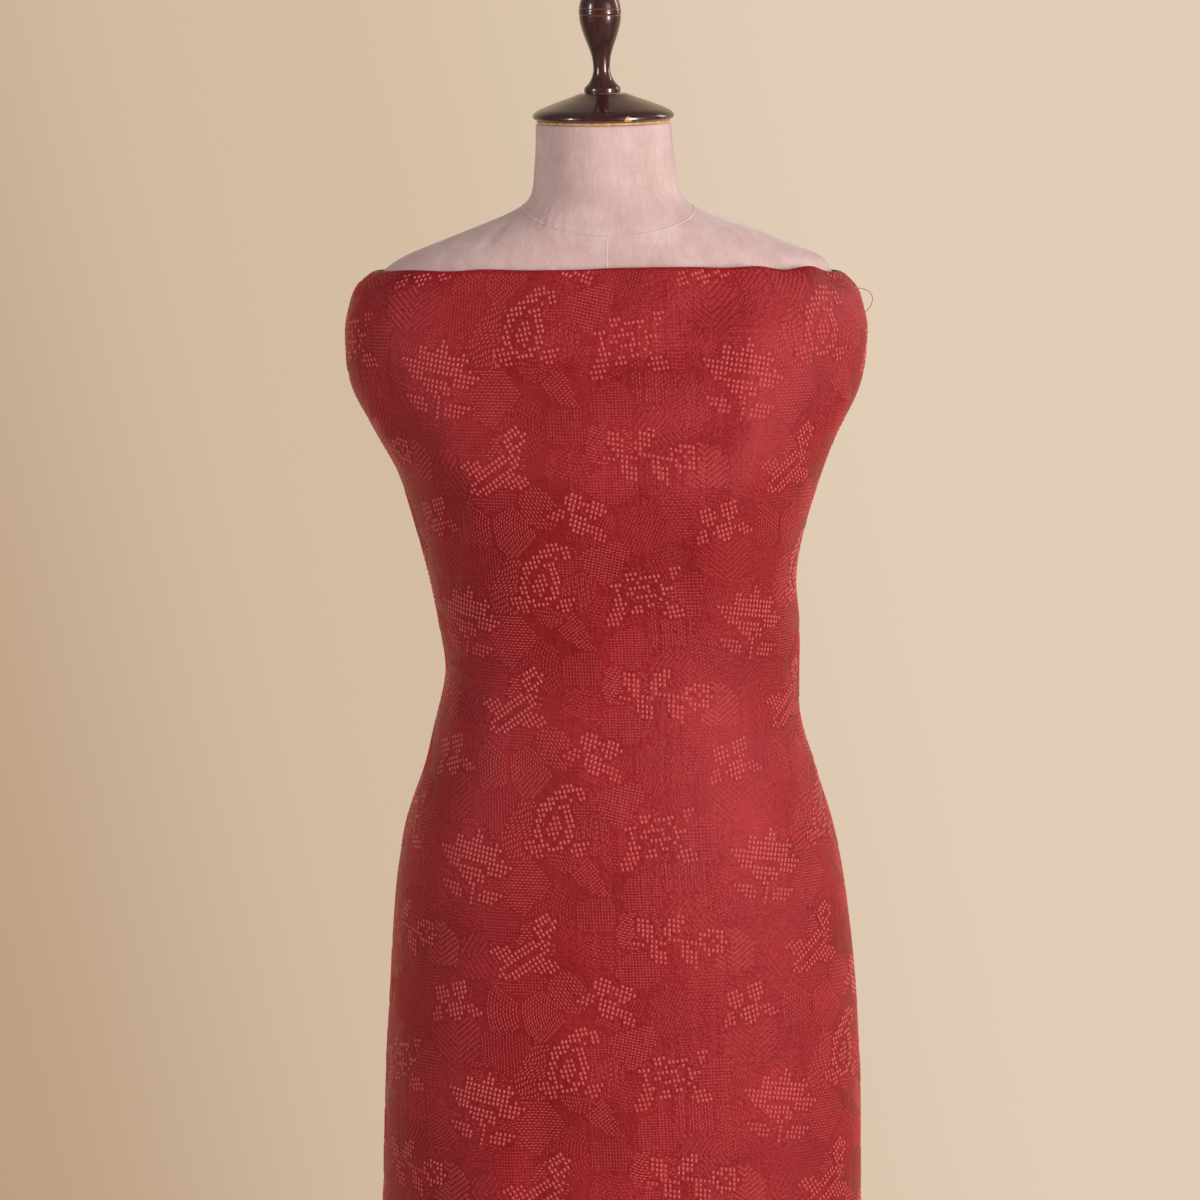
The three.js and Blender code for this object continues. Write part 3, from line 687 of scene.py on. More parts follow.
def patchStitches(rng):
    sites = np.zeros((0, 2))
    for _ in range(embroidery["patchTries"]):        # places at least one spacing apart
        new = rng.uniform((0, 0), embroidery["tile"])[None]
        if wrapped(new, sites).min(initial=99) > embroidery["patchSpacing"]:
            sites = np.concatenate([sites, new])
    stitches = []
    for n, (middleX, middleY) in enumerate(sites):
        kind, shape = rng.choice(rowKinds), rng.choice(patchShapes)
        long, wide = rng.uniform(*embroidery["patchLong"]), rng.uniform(*embroidery["patchWide"])
        turn = math.radians(rng.choice(embroidery["patchTurns"]))
        across = rng.choice([0, np.pi / 2]) * (kind in ("rows", "grid", "blocks"))
        pitch = rng.uniform(*embroidery["rowPitch"])
        dashes = {"grid": rng.uniform(*embroidery["gridDash"]), "seeds": embroidery["seedDash"]}
        dash = dashes.get(kind, rng.uniform(*embroidery["dash"]))
        period = dash + rng.uniform(*embroidery["stitchGap"])
        x, y, way = stitchLines(kind, pitch, period, embroidery["patchReach"])
        if shape == "leaf":
            long, wide = embroidery["leafStretch"][0] * long, embroidery["leafStretch"][1] * wide
        keep = insideShape(shape, *turnedBy(x, y, across), long, wide)
        x, y = turnedBy(x[keep], y[keep], turn)
        x, y, way = x + middleX, y + middleY, way[keep] + turn
        far = wrapped(np.column_stack([x, y]), sites)
        own = far[:, n].copy()
        far[:, n] = 99
        inCell = far.min(axis=1) - own > embroidery["patchGap"]
        tone = rng.choice(embroidery["tones"], p=embroidery["toneShares"])
        count = inCell.sum()
        stitches.append(np.stack([x[inCell], y[inCell], way[inCell], np.full(count, dash),
                                  np.full(count, tone)], axis=1))
    return np.concatenate(stitches)


def repeatTile():
    rng = np.random.default_rng(embroidery["seed"])
    dots, rows = motifDots(), patchStitches(rng)
    rows = rows[wrapped(rows, dots).min(axis=1) > embroidery["halo"] + 0.3 * rows[:, 3]]
    length = embroidery["dot"][1]
    return rows, np.column_stack([dots[:, :3], np.full(len(dots), length), dots[:, 3]])


def spreadOver(tile, rng):
    tileX, tileY = embroidery["tile"]
    width, length = cloth["width"], surface["length"]
    startX, startY = embroidery["start"]
    copies = []
    for j in range(-1, int(length / tileY) + 2):
        for i in range(-4, 5):
            copy = tile.copy()
            copy[:, 1] += startY + j * tileY
            copy[:, 0] += startX + i * tileX + embroidery["drift"] * copy[:, 1]
            copies.append(copy)
    laid = np.concatenate(copies)
    edge = width / 2 - embroidery["selvedge"]
    keep = ((np.abs(laid[:, 0]) < edge) & (laid[:, 1] > embroidery["topMargin"])
            & (laid[:, 1] < length - embroidery["hemMargin"]))
    laps = np.interp(laid[:, 1], surface["down"], surface["laps"])
    hidden = laid[:, 0] < -width / 2 + laps * 2 - embroidery["hiddenPast"]
    laid = laid[keep & ~hidden]
    count = len(laid)
    for column, spread in enumerate(embroidery["unevenness"]):
        laid[:, column] += rng.normal(0, spread, count)
    laid[:, 3] *= rng.uniform(0.9, 1.1, count)
    laid[:, 4] = np.clip(laid[:, 4] + rng.normal(0, 0.05, count), 0.02, 1.2)
    return laid


def surfaceAt(u, v):
    grid, normals = surface["grid"], surface["normals"]
    column = np.interp(u, surface["flat"], np.arange(len(surface["flat"])))
    row = np.interp(v, surface["down"], np.arange(len(surface["down"])))
    c = np.clip(np.floor(column).astype(int), 0, grid.shape[1] - 2)
    r = np.clip(np.floor(row).astype(int), 0, grid.shape[0] - 2)
    fc, fr = (column - c)[:, None], (row - r)[:, None]

    def blend(a):
        return ((a[r, c] * (1 - fc) + a[r, c + 1] * fc) * (1 - fr)
                + (a[r + 1, c] * (1 - fc) + a[r + 1, c + 1] * fc) * fr)

    across = (grid[r, c + 1] - grid[r, c]) * (1 - fr) + (grid[r + 1, c + 1] - grid[r + 1, c]) * fr
    down = (grid[r + 1, c] - grid[r, c]) * (1 - fc) + (grid[r + 1, c + 1] - grid[r, c + 1]) * fc
    unit = [a / np.linalg.norm(a, axis=1, keepdims=True) for a in (across, down, blend(normals))]
    return blend(grid), *unit


def copiedFaces(count, corners, faces):
    base = np.arange(count)[:, None] * len(corners)
    return [row for face in faces for row in (base + np.array(face)[None, :]).tolist()]


def stitchMesh(name, laid, corners, faces, width, height):
    # corners: along, aside and up in shares of half the length, half the width and the height
    middle, across, down, out = surfaceAt(laid[:, 0], laid[:, 1])
    way = np.cos(laid[:, 2])[:, None] * across + np.sin(laid[:, 2])[:, None] * down
    aside = np.cross(out, way)
    along = corners[:, 0] * laid[:, 3, None] / 2
    sideways = corners[:, 1] * width / 2
    points = (middle[:, None] + along[..., None] * way[:, None] + sideways[None, :, None] * aside[:, None]
              + (corners[:, 2] * height)[None, :, None] * out[:, None])
    turn = laid[:, 2, None]
    flatX = laid[:, 0, None] + along * np.cos(turn) - sideways * np.sin(turn)
    flatY = laid[:, 1, None] + along * np.sin(turn) + sideways * np.cos(turn)
    uv = np.stack([flatX / cloth["width"] + 0.5, (surface["length"] - flatY) / surface["span"]], axis=-1)
    every = copiedFaces(len(laid), corners, faces)
    piece = newMesh(name, points.reshape(-1, 3) * mm, every, uv.reshape(-1, 2))
    storeNumbers(piece, "tone", np.repeat(laid[:, 4], len(corners)))
    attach(piece, "root")
    return piece


# corners along, aside and up, and faces, of a stitch that is a ridge and of one that is a pad
stitchShapes = {
    "line": (np.array([(-1, -1, -0.4), (1, -1, -0.4), (1, 1, -0.4), (-1, 1, -0.4),
                       (-0.72, 0, 1), (0.72, 0, 1)]),
             [(3, 2, 1, 0), (0, 1, 5, 4), (2, 3, 4, 5), (1, 2, 5), (3, 0, 4)]),
    "dot": (np.array([(-1, -1, -0.3), (1, -1, -0.3), (1, 1, -0.3), (-1, 1, -0.3),
                      (-0.66, -0.55, 1), (0.66, -0.55, 1), (0.66, 0.55, 1), (-0.66, 0.55, 1)]),
            [(3, 2, 1, 0), (4, 5, 6, 7), (0, 1, 5, 4), (1, 2, 6, 5), (2, 3, 7, 6), (3, 0, 4, 7)]),
}


def makeEmbroidery():
    rng = np.random.default_rng(embroidery["seed"] + 1)
    rows, dots = (spreadOver(tile, rng) for tile in repeatTile())
    order = np.argsort(rows[:, 0])
    parts = np.array_split(rows[order], 4)
    pieces = [stitchMesh("rowStitches" + side, part, *stitchShapes["line"], *embroidery["line"])
              for side, part in zip(("BackLeft", "FrontLeft", "FrontRight", "BackRight"), parts)]
    pieces.append(stitchMesh("motifDots", dots, *stitchShapes["dot"], *embroidery["dot"][::2]))
    print("embroidery", len(rows), "stitches and", len(dots), "dots")
    return pieces


# loose ends of thread: across, deep and up, from where each leaves the cloth
looseThreads = {
    "looseThreadRight": [(185.5, 1, 1285.5), (191, 0, 1285), (197.6, -2, 1280.5), (197.8, -3, 1275),
                         (193.6, -2, 1268)],
    "looseThreadLeft": [(-82.5, -96, 1246), (-83.5, -101.5, 1244), (-82, -103.5, 1240),
                        (-79.5, -103, 1236)],
}


def makeLooseThread(name, places):
    line = bpy.data.curves.new(name, "CURVE")
    line.dimensions = "3D"
    line.bevel_depth, line.bevel_resolution, line.use_fill_caps = 0.3 * mm, 1, True
    spline = line.splines.new("BEZIER")
    spline.bezier_points.add(len(places) - 1)
    for point, place in zip(spline.bezier_points, places):
        point.co = Vector(place) * mm
        point.handle_left_type = point.handle_right_type = "AUTO"
    piece = bpy.data.objects.new(name, line)
    scene.collection.objects.link(piece)
    bpy.ops.object.select_all(action="DESELECT")
    piece.select_set(True)
    bpy.context.view_layer.objects.active = piece
    bpy.ops.object.convert(target="MESH")
    piece = bpy.context.object
    bpy.ops.object.shade_smooth()
    storeNumbers(piece, "tone", np.full(len(piece.data.vertices), 0.9))
    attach(piece, "root")
    return piece


stitchPieces = makeEmbroidery()
stitchPieces += [makeLooseThread(name, places) for name, places in looseThreads.items()]

# Dress form: its body and neck in pale velvet, with seams and a few crushed places

formColumns = ("z", "left", "right", "front", "back", "power")
formSections = [
    (726, 148, 148, 108, 118, 2.2),
    (800, 148, 148, 108, 117, 2.2),
    (862, 143, 143, 104, 108, 2.2),
    (926, 126, 126, 96, 92, 2.2),
    (966, 115, 115, 89, 83, 2.2),
    (1002, 110, 110, 85, 79, 2.2),
    (1040, 113, 113, 87, 80, 2.25),
    (1084, 123, 123, 95, 86, 2.35),
    (1122, 133, 133, 107, 92, 2.45),
    (1152, 143, 143, 113, 97, 2.5),
    (1186, 159, 159, 106, 100, 2.4),
    (1220, 178, 178, 94, 99, 2.35),
    (1250, 187, 187, 82, 95, 2.3),
    (1272, 184.5, 184.5, 76, 90, 2.25),
    (1288, 175.5, 176.5, 71, 85, 2.2),
    (1300, 164.5, 166.5, 68, 80, 2.1),
    (1310, 149, 158.8, 65.5, 76, 2.0),
    (1321, 122.3, 132.5, 63, 71.5, 1.95),
    (1331, 97.3, 107.6, 60.5, 67.5, 1.95),
    (1340, 75.5, 80.5, 58.2, 63, 1.95),
    (1348, 61.5, 63, 56.4, 59, 2.0),
    (1357, 55.4, 55.4, 54.6, 56, 2.0),
    (1372, 53, 53, 52.6, 53.4, 2.0),
    (1390, 51.2, 51.2, 51.2, 51.2, 2.0),
    (1408.7, 50.3, 50.3, 50.3, 50.3, 2.0),
]
dressForm = {
    "foot": 726, "fineAbove": 1284, "rowsBelow": 40, "rowsAbove": 50, "columns": 240,
    "edgeDown": (1.5, 0.5, 0), "edgeIn": (0, 0.3, 1.4),    # rows of the neck's rounded top edge
    "neckFoot": 1348, "neckMiddle": 1390, "neckTop": 1408.7, "neckLean": -2.4, "capTilt": 0.8,
    "seamFront": 1328.5, "seamRise": 18.5, "seamPower": 2.3, "seamTilt": 1.2, "seamBehind": 12,
    "sideSeams": (-106, 108),            # across, where the panel seams pass over the chest
    "sidesMeet": (1352, 34, 0.45),       # height that they run to, depth of the run, least share left
    "shoulderSeam": 4, "shoulderFrom": 1262,
    "flat": (1100, 700),
    "stitchPitch": 1.5, "stitch": (0.5, 2.4, 1.2, 0.35),   # width, length in view and beyond, height
    "stitchedFrom": -54, "stitchedTo": -10,
}

# along from the centre front, height, turn in degrees, length, width, rise
velvetFolds = [
    (-56, 1342, 84, 11, 1.8, 2.0),
    (-50, 1340, 87, 11, 1.8, 2.3),
    (-44, 1338, 90, 10, 1.8, 2.2),
    (-38, 1336, 92, 9, 1.7, 1.8),
    (-31, 1335, 95, 7, 1.6, 1.2),
    (-78, 1334, 70, 12, 2.2, 1.3),
    (-87, 1331, 66, 13, 2.4, -1.1),
    (-96, 1327, 62, 13, 2.4, 1.2),
    (92, 1330, 112, 12, 3, 0.7),
    (128, 1317, 120, 16, 3.4, 1.0),
    (140, 1312, 125, 14, 3, -0.9),
]


def leanAt(z):
    rise = (z - dressForm["neckFoot"]) / (dressForm["neckTop"] - dressForm["neckFoot"])
    return dressForm["neckLean"] * np.clip(rise, 0, 1)


def formOutline(table, z, columns):
    size = {name: columnAt(table, name, z) for name in formColumns[1:]}
    return levelOutline({**size, "behind": size["power"]}, columns)


def formGrid():
    table = sectionTable(formColumns, formSections)
    edge = dressForm["neckTop"] - np.array(dressForm["edgeDown"])
    low = np.linspace(dressForm["foot"], dressForm["fineAbove"], dressForm["rowsBelow"] + 1)[:-1]
    high = np.linspace(dressForm["fineAbove"], edge[0], dressForm["rowsAbove"])
    heights = np.concatenate([low, high, edge[1:]])
    shrink = np.append(np.zeros(len(heights) - len(edge)), dressForm["edgeIn"])
    grid, alongs = [], []
    for z, inset in zip(heights, shrink):
        line = formOutline(table, z, dressForm["columns"])
        along = line["even"][:-1]
        along = np.where(along > line["around"] / 2, along - line["around"], along)
        out = softFoldAt(along, z, velvetFolds) - inset
        x, y = line["x"][:-1] + out * line["outX"][:-1], line["y"][:-1] + out * line["outY"][:-1]
        tilted = max(0, (z - dressForm["neckMiddle"]) / (dressForm["neckTop"] - dressForm["neckMiddle"]))
        lift = x * tilted * math.sin(math.radians(dressForm["capTilt"]))
        grid.append(np.stack([x + leanAt(z), y, z + lift], axis=1))
        alongs.append(along)
    return np.array(grid), np.array(alongs)


def trueDistance(field, grid):
    # turns a smooth field on the form into a distance along its surface
    stepUp = np.linalg.norm(np.gradient(grid, axis=0), axis=2) + 1e-6
    stepRound = np.linalg.norm(np.roll(grid, -1, 1) - np.roll(grid, 1, 1), axis=2) / 2
    slopeUp = np.gradient(field, axis=0) / stepUp
    slopeRound = (np.roll(field, -1, 1) - np.roll(field, 1, 1)) / 2 / stepRound
    return field / np.maximum(np.hypot(slopeUp, slopeRound), 0.05)


def neckSeamHeight(turn):
    return (dressForm["seamFront"] + dressForm["seamRise"] * np.abs(np.sin(turn)) ** dressForm["seamPower"]
            - dressForm["seamTilt"] * np.sin(2 * turn) * (np.cos(turn) > 0)
            + dressForm["seamBehind"] * np.clip(-np.cos(turn), 0, 1) ** 2)


def makeForm():
    grid, alongs = formGrid()
    rows, columns = grid.shape[:2]
    x, y, z = grid[..., 0], grid[..., 1], grid[..., 2]
    aboveSeam = z - neckSeamHeight(np.arctan2(x, -y))
    neckSeam = trueDistance(aboveSeam, grid)
    middle = trueDistance(x - leanAt(z), grid)
    meet, depth, least = dressForm["sidesMeet"]
    inwards = np.clip((meet - z) / depth, least, 1)
    sides = [np.abs(trueDistance(x - place * inwards, grid)) for place in dressForm["sideSeams"]]
    shoulder = np.abs(trueDistance(y - dressForm["shoulderSeam"], grid))
    shoulder = shoulder + 60 * (z < dressForm["shoulderFrom"])       # none under the cloth
    farAway = 9
    panel = np.where(y < 0, np.minimum(*sides), farAway)
    panel = np.minimum(panel, np.abs(middle))
    panel = np.where(aboveSeam < 0, np.minimum(panel, shoulder), farAway)
    panel = np.where((aboveSeam > 0) & (y > 0), np.abs(middle), panel)
    across = alongs / dressForm["flat"][0] + 0.5
    up = (z - dressForm["foot"]) / dressForm["flat"][1]
    points = np.concatenate([grid.reshape(-1, 3), [(0, 0, dressForm["foot"])],
                             [(dressForm["neckLean"], 0, dressForm["neckTop"])]])
    index = np.arange(rows * columns).reshape(rows, columns)
    after = np.roll(index, -1, 1)
    faces = np.stack([index[:-1], after[:-1], after[1:], index[1:]], axis=-1).reshape(-1, 4).tolist()
    bottom, top = rows * columns, rows * columns + 1
    faces += [(bottom, int(after[0, k]), int(index[0, k])) for k in range(columns)]
    faces += [(top, int(index[-1, k]), int(after[-1, k])) for k in range(columns)]
    uv = np.concatenate([np.stack([across, up], axis=-1).reshape(-1, 2), [(0.5, 0), (0.5, 1)]])
    form = newMesh("velvetForm", points * mm, faces, uv)
    for name, field in (("neckSeam", neckSeam), ("panelSeam", panel)):
        storeNumbers(form, name, np.append(field.ravel(), (farAway, farAway)))
    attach(form, "root")
    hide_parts("torso_form")
    return form, grid, aboveSeam


def makeSeamStitches(grid, aboveSeam):
    columns = np.arange(grid.shape[1])
    below = (aboveSeam < 0).sum(axis=0) - 1      # last row under the neck seam, at each column
    step = aboveSeam[below + 1, columns] - aboveSeam[below, columns]
    part = (-aboveSeam[below, columns] / step)[:, None]
    line = grid[below, columns] * (1 - part) + grid[below + 1, columns] * part
    line, up = (np.concatenate([a, a[:1]]) for a in (line, grid[below + 1, columns] - grid[below, columns]))
    reach = np.concatenate([[0], np.cumsum(np.linalg.norm(np.diff(line, axis=0), axis=1))])
    at = np.arange(0, reach[-1], dressForm["stitchPitch"])
    middle, up = (np.stack([np.interp(at, reach, a[:, k]) for k in range(3)], axis=1) for a in (line, up))
    aside = np.gradient(middle, axis=0)
    out = np.cross(aside, up)
    aside, up, out = (a / np.linalg.norm(a, axis=1, keepdims=True) for a in (aside, up, out))
    width, long, short, height = dressForm["stitch"]
    inView = (middle[:, 0] > dressForm["stitchedFrom"]) & (middle[:, 0] < dressForm["stitchedTo"])
    length = np.where(inView & (middle[:, 1] < 0), long, short)[:, None, None]
    shape, faces = stitchShapes["line"]
    points = (middle[:, None] + shape[:, 0, None] * length / 2 * up[:, None]
              - shape[:, 1, None] * width / 2 * aside[:, None] + shape[:, 2, None] * height * out[:, None])
    every = copiedFaces(len(at), shape, faces)
    flat = np.stack([at[:, None] + 0 * shape[:, 0], 3 + shape[:, 0] + 0 * at[:, None]], axis=-1) / reach[-1]
    piece = newMesh("neckSeamStitches", points.reshape(-1, 3) * mm, every, flat.reshape(-1, 2))
    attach(piece, "root")
    return piece


dressFormPiece, formSurface, formAboveSeam = makeForm()
seamStitches = makeSeamStitches(formSurface, formAboveSeam)
print("dress form", len(dressFormPiece.data.polygons), "faces")

# Turned wood and the stand, made on a ring that is drawn up step by step. An outline's points are
# radius, height, and 1 at a corner or 0 on a curve

outlineStep = 1.2
smoothBelow = math.radians(32)
turnedPieces = {
    "neckRim": {
        "node": "neck_cap_rim", "slot": "bare_wood", "sides": 112, "up": 0.3,
        "outline": [(49, 0, 1), (49.6, 0.5, 0), (49.6, 1.5, 0), (49, 2, 1)],
    },
    "neckCap": {
        "node": "neck_cap", "slot": "lacquer", "sides": 128, "up": 2.6,
        "outline": [(50.4, 0, 1), (52.2, 1, 0), (52.7, 2.5, 0), (52, 4.4, 0), (49.8, 6.3, 0),
                    (46.9, 7.9, 0), (36.1, 12.2, 0), (24.1, 16.5, 0), (17.4, 19.1, 1), (9, 19.1, 1)],
    },
    "finialKnob": {
        "node": "finial", "slot": "lacquer", "sides": 96, "up": 22.25, "aside": -0.4, "askew": 1.0,
        "outline": [(13.1, 0, 1), (13.5, 0.5, 0), (13.55, 3.2, 0), (13.2, 4.1, 0), (12.3, 5, 1),
                    (9.9, 7.5, 0), (8.1, 10.5, 0), (6.9, 13.6, 0), (6.2, 17.6, 0), (6.4, 21.6, 0),
                    (7, 26.4, 0), (8.4, 31.4, 0), (10.5, 37.3, 0), (12.4, 42.4, 0), (14.1, 48, 0),
                    (15.2, 52.8, 0), (15.65, 56.9, 1), (15.1, 57.4, 1), (15.6, 57.9, 1), (15.85, 59, 0),
                    (15.75, 59.9, 1), (15.9, 60.8, 0), (15.7, 61.9, 1), (15.2, 62.4, 1),
                    (15.6, 62.9, 1), (14.6, 67.4, 0), (12.5, 72.4, 0), (9.4, 76.6, 0), (5.4, 79.6, 0),
                    (1.2, 81, 1)],
    },
    "standBase": {
        "node": "base", "slot": "dark_wood", "sides": 160,
        "outline": [(207, 0, 1), (209.6, 1.2, 0), (210, 3, 0), (210, 12, 0), (209, 14.6, 0),
                    (206, 17, 1), (206, 18.2, 1), (196, 19, 0), (190, 22, 0), (180, 24.5, 0),
                    (120, 27.6, 0), (60, 30, 1)],
    },
    "standCollar": {
        "node": "pole_collar", "slot": "dark_wood", "sides": 96,
        "outline": [(37.4, 0, 1), (38, 0.8, 0), (38, 4.2, 0), (37, 5, 1), (33.5, 6.2, 0), (30, 9, 0),
                    (25, 24, 0), (21, 36, 1), (22, 37.6, 0), (22, 41, 0), (21, 42.4, 1), (19, 46, 1)],
    },
    "standPole": {
        "node": "pole", "slot": "steel", "sides": 96,
        "outline": [(13.2, 0, 1), (14, 1, 1), (14, 320, 1), (14, 635.8, 1), (13.2, 636.8, 1)],
    },
}


def outlineSteps(outline, step):
    # smooth steps from one corner of the outline to the next, closer on tight bends
    rows, start = [], 0
    for end in range(1, len(outline)):
        if not (outline[end][2] or end == len(outline) - 1):
            continue
        part = np.array([p[:2] for p in outline[start:end + 1]], float)
        reach = walkedAlong(*part.T)
        table = {"z": reach, "radius": part[:, 0], "height": part[:, 1]}
        count = 1 if len(part) == 2 else max(2 * len(part), round(reach[-1] / step))
        at = np.linspace(0, reach[-1], count + 1)
        rows += list(zip(columnAt(table, "radius", at), columnAt(table, "height", at)))[rows != []:]
        start = end
    return rows


def turnPiece(name, made):
    # on the neck a piece stands on the tilted top, and elsewhere where its node starts
    neckTop = Vector((dressForm["neckLean"], 0, dressForm["neckTop"])) * mm
    aside, foot = 0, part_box(made["node"])[0].z
    if "up" in made:
        aside, foot = neckTop.x + made.get("aside", 0) * mm, neckTop.z + made["up"] * mm
    rows = [(r * mm, foot + h * mm) for r, h in outlineSteps(made["outline"], outlineStep)]
    piece = filledRing(name, made["sides"], rows[0][0], (aside, 0, rows[0][1]))
    bpy.ops.object.mode_set(mode="EDIT")
    bpy.ops.mesh.select_all(action="SELECT")
    for (radius, height), (nextRadius, nextHeight) in zip(rows, rows[1:]):
        bpy.ops.mesh.extrude_region_move(TRANSFORM_OT_translate={"value": (0, 0, nextHeight - height)})
        share = nextRadius / radius
        bpy.ops.transform.resize(value=(share, share, 1), center_override=(aside, 0, nextHeight))
    bpy.ops.mesh.select_all(action="SELECT")
    bpy.ops.mesh.normals_make_consistent(inside=False)
    if "up" in made:
        bpy.ops.transform.rotate(value=math.radians(made.get("askew", 0)), orient_axis="Y",
                                 center_override=(aside, 0, foot))
        bpy.ops.transform.rotate(value=math.radians(dressForm["capTilt"]), orient_axis="Y",
                                 center_override=neckTop)
    bpy.ops.object.mode_set(mode="OBJECT")
    bpy.ops.object.transform_apply(location=True, rotation=True, scale=True)
    bpy.ops.object.shade_smooth_by_angle(angle=smoothBelow)
    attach(piece, "root")
    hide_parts(made["node"])
    return piece


def makeHipPlate():
    low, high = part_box("hip_plate")
    table = sectionTable(formColumns, formSections)
    sides = 180
    plate = filledRing("hipBoard", sides, 0.1, (0, 0, low.z))
    line = formOutline(table, dressForm["foot"], sides)
    inset = high.x / (line["x"].max() * mm)
    for corner, x, y in zip(plate.data.vertices, line["x"], line["y"]):
        corner.co.x, corner.co.y = x * mm * inset, y * mm * inset
    bpy.ops.object.mode_set(mode="EDIT")
    bpy.ops.mesh.select_all(action="SELECT")
    bpy.ops.mesh.extrude_region_move(TRANSFORM_OT_translate={"value": (0, 0, high.z - low.z)})
    bpy.ops.mesh.select_all(action="SELECT")
    bpy.ops.mesh.normals_make_consistent(inside=False)
    bpy.ops.object.mode_set(mode="OBJECT")
    bpy.ops.object.transform_apply(location=True, rotation=True, scale=True)
    edge = plate.modifiers.new("edge", "BEVEL")
    edge.width, edge.segments, edge.limit_method = 0.0012, 3, "ANGLE"
    bpy.ops.object.modifier_apply(modifier="edge")
    bpy.ops.object.shade_smooth_by_angle(angle=smoothBelow)
    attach(plate, "root")
    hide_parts("hip_plate")
    return plate


turned = {name: turnPiece(name, made) for name, made in turnedPieces.items()}
hipBoard = makeHipPlate()
print("turned pieces and stand")

# Silk: a slubbed crimson ground, and threads from near its red to bright coral

silk = {
    "ground": (0.270, 0.0085, 0.0135),
    "groundDark": (0.180, 0.0045, 0.007),
    "groundLight": (0.365, 0.017, 0.022),
    "threadLow": (0.39, 0.024, 0.030),
    "threadMiddle": (0.58, 0.076, 0.084),
    "threadHigh": (0.68, 0.125, 0.123),
    "shine": 1.0, "threadShine": 0.6, "shineTint": (1.0, 0.22, 0.24), "roughness": 0.37,
}


def flatPlace(tree):
    # the flat sheet's own places, in millimetres
    uv = addNode(tree, "ShaderNodeUVMap", uv_map="OFBake").outputs["UV"]
    size = (cloth["width"], surface["span"], 1)
    return addNode(tree, "ShaderNodeMapping", {"Vector": uv, "Scale": size}).outputs["Vector"]


def groundMaterial():
    material, tree = newMaterial("crimsonSilk")
    place = flatPlace(tree)
    weft = noiseOf(tree, place, 1.0, (0.07, 1.1, 1), 2, 0.6)       # slubs along the weft
    warp = noiseOf(tree, place, 1.0, (1.2, 0.06, 1), 2, 0.6)
    long = noiseOf(tree, place, 1.0, (0.13, 0.013, 1), 3, 0.55)    # creases that run down the cloth
    crinkle = noiseOf(tree, place, 0.32, (1, 1, 1), 4, 0.65)
    threads = sharesOf(tree, (weft, 0.5), (warp, 0.5))
    mixed = sharesOf(tree, (threads, 0.5), (crinkle, 0.3), (noiseOf(tree, place, 0.018), 0.2))
    creased = bumpOf(tree, crinkle, 0.8, 0.0015, bumpOf(tree, long, 0.5, 0.0022))
    return finishMaterial(material, {
        "Base Color": rampOf(tree, mixed, [(0.405, silk["groundDark"]), (0.5, silk["ground"]),
                                           (0.595, silk["groundLight"])]),
        "Normal": bumpOf(tree, threads, 0.7, 0.0006, creased),
        "Roughness": silk["roughness"],
        "Specular IOR Level": silk["shine"], "Specular Tint": (*silk["shineTint"], 1),
        "Sheen Weight": 0.05, "Sheen Roughness": 0.4, "Sheen Tint": (1.0, 0.32, 0.32, 1),
    })


def threadMaterial():
    material, tree = newMaterial("silkThread")
    tone = addNode(tree, "ShaderNodeAttribute", attribute_name="tone").outputs["Fac"]
    twist = noiseOf(tree, flatPlace(tree), 1.4, (1, 1, 1), 1)
    shifted = mathOf(tree, "ADD", tone, swayOf(tree, twist, 0.35))
    return finishMaterial(material, {
        "Base Color": rampOf(tree, shifted, [(0.0, silk["threadLow"]), (0.5, silk["threadMiddle"]),
                                             (1.0, silk["threadHigh"])]),
        "Normal": bumpOf(tree, twist, 0.4, 0.0004),
        "Roughness": silk["roughness"],
        "Specular IOR Level": silk["threadShine"], "Specular Tint": (*silk["shineTint"], 1),
    })


clothSheet.data.materials.append(groundMaterial())
thread = threadMaterial()
for piece in stitchPieces:
    piece.data.materials.append(thread)

# Velvet, lacquer, bare and dark wood, painted steel

velvet = {
    "pile": (0.68, 0.475, 0.448), "pileDark": (0.58, 0.39, 0.36), "pileLight": (0.78, 0.59, 0.575),
    # seam is the lighter colour along the seams: partly the seam itself, partly a painted sheen on the seam
    # edges
    "seam": (0.90, 0.73, 0.71), "seamWidth": 0.9, "seamSheenShare": 0.6,
    "threadDark": (0.74, 0.55, 0.53), "threadLight": (0.86, 0.70, 0.68),
    "spot": (0.42, 0.24, 0.15), "spotAt": (-39, -35.5, 1383.5), "spotSize": 1.2, "spotShare": 0.7,
}
lacquer = {
    "deep": (0.026, 0.0055, 0.005), "warm": (0.078, 0.016, 0.012),
    "groove": (0.24, 0.07, 0.028), "grooves": (57.4, 62.4), "grooveHalf": 0.42,
    "chip": (0.66, 0.38, 0.13), "chipAt": (16.5, -50.2, 1412.9), "chipSize": 3.2, "chipRagged": 2.4,
}
woods = {
    "bareWood": {
        "dark": (0.50, 0.26, 0.09), "light": (0.80, 0.50, 0.20), "stretch": (1, 1, 0.5), "scale": 0.25,
        "bump": 0.2, "finish": {"Roughness": 0.42},
    },
    "darkWood": {
        "dark": (0.020, 0.0065, 0.0045), "light": (0.065, 0.022, 0.013), "stretch": (0.06, 1, 1),
        "scale": 0.3, "bump": 0.25,
        "finish": {"Roughness": 0.34, "Coat Weight": 0.35, "Coat Roughness": 0.2},
    },
}


def nearLine(tree, name, width):
    # 1 on the line whose distance the attribute holds, and 0 from a width away
    line = addNode(tree, "ShaderNodeAttribute", attribute_name=name).outputs["Fac"]
    values = {"Value": mathOf(tree, "ABSOLUTE", line), "From Min": width, "From Max": 0}
    return addNode(tree, "ShaderNodeMapRange", values, interpolation_type="SMOOTHSTEP").outputs["Result"]


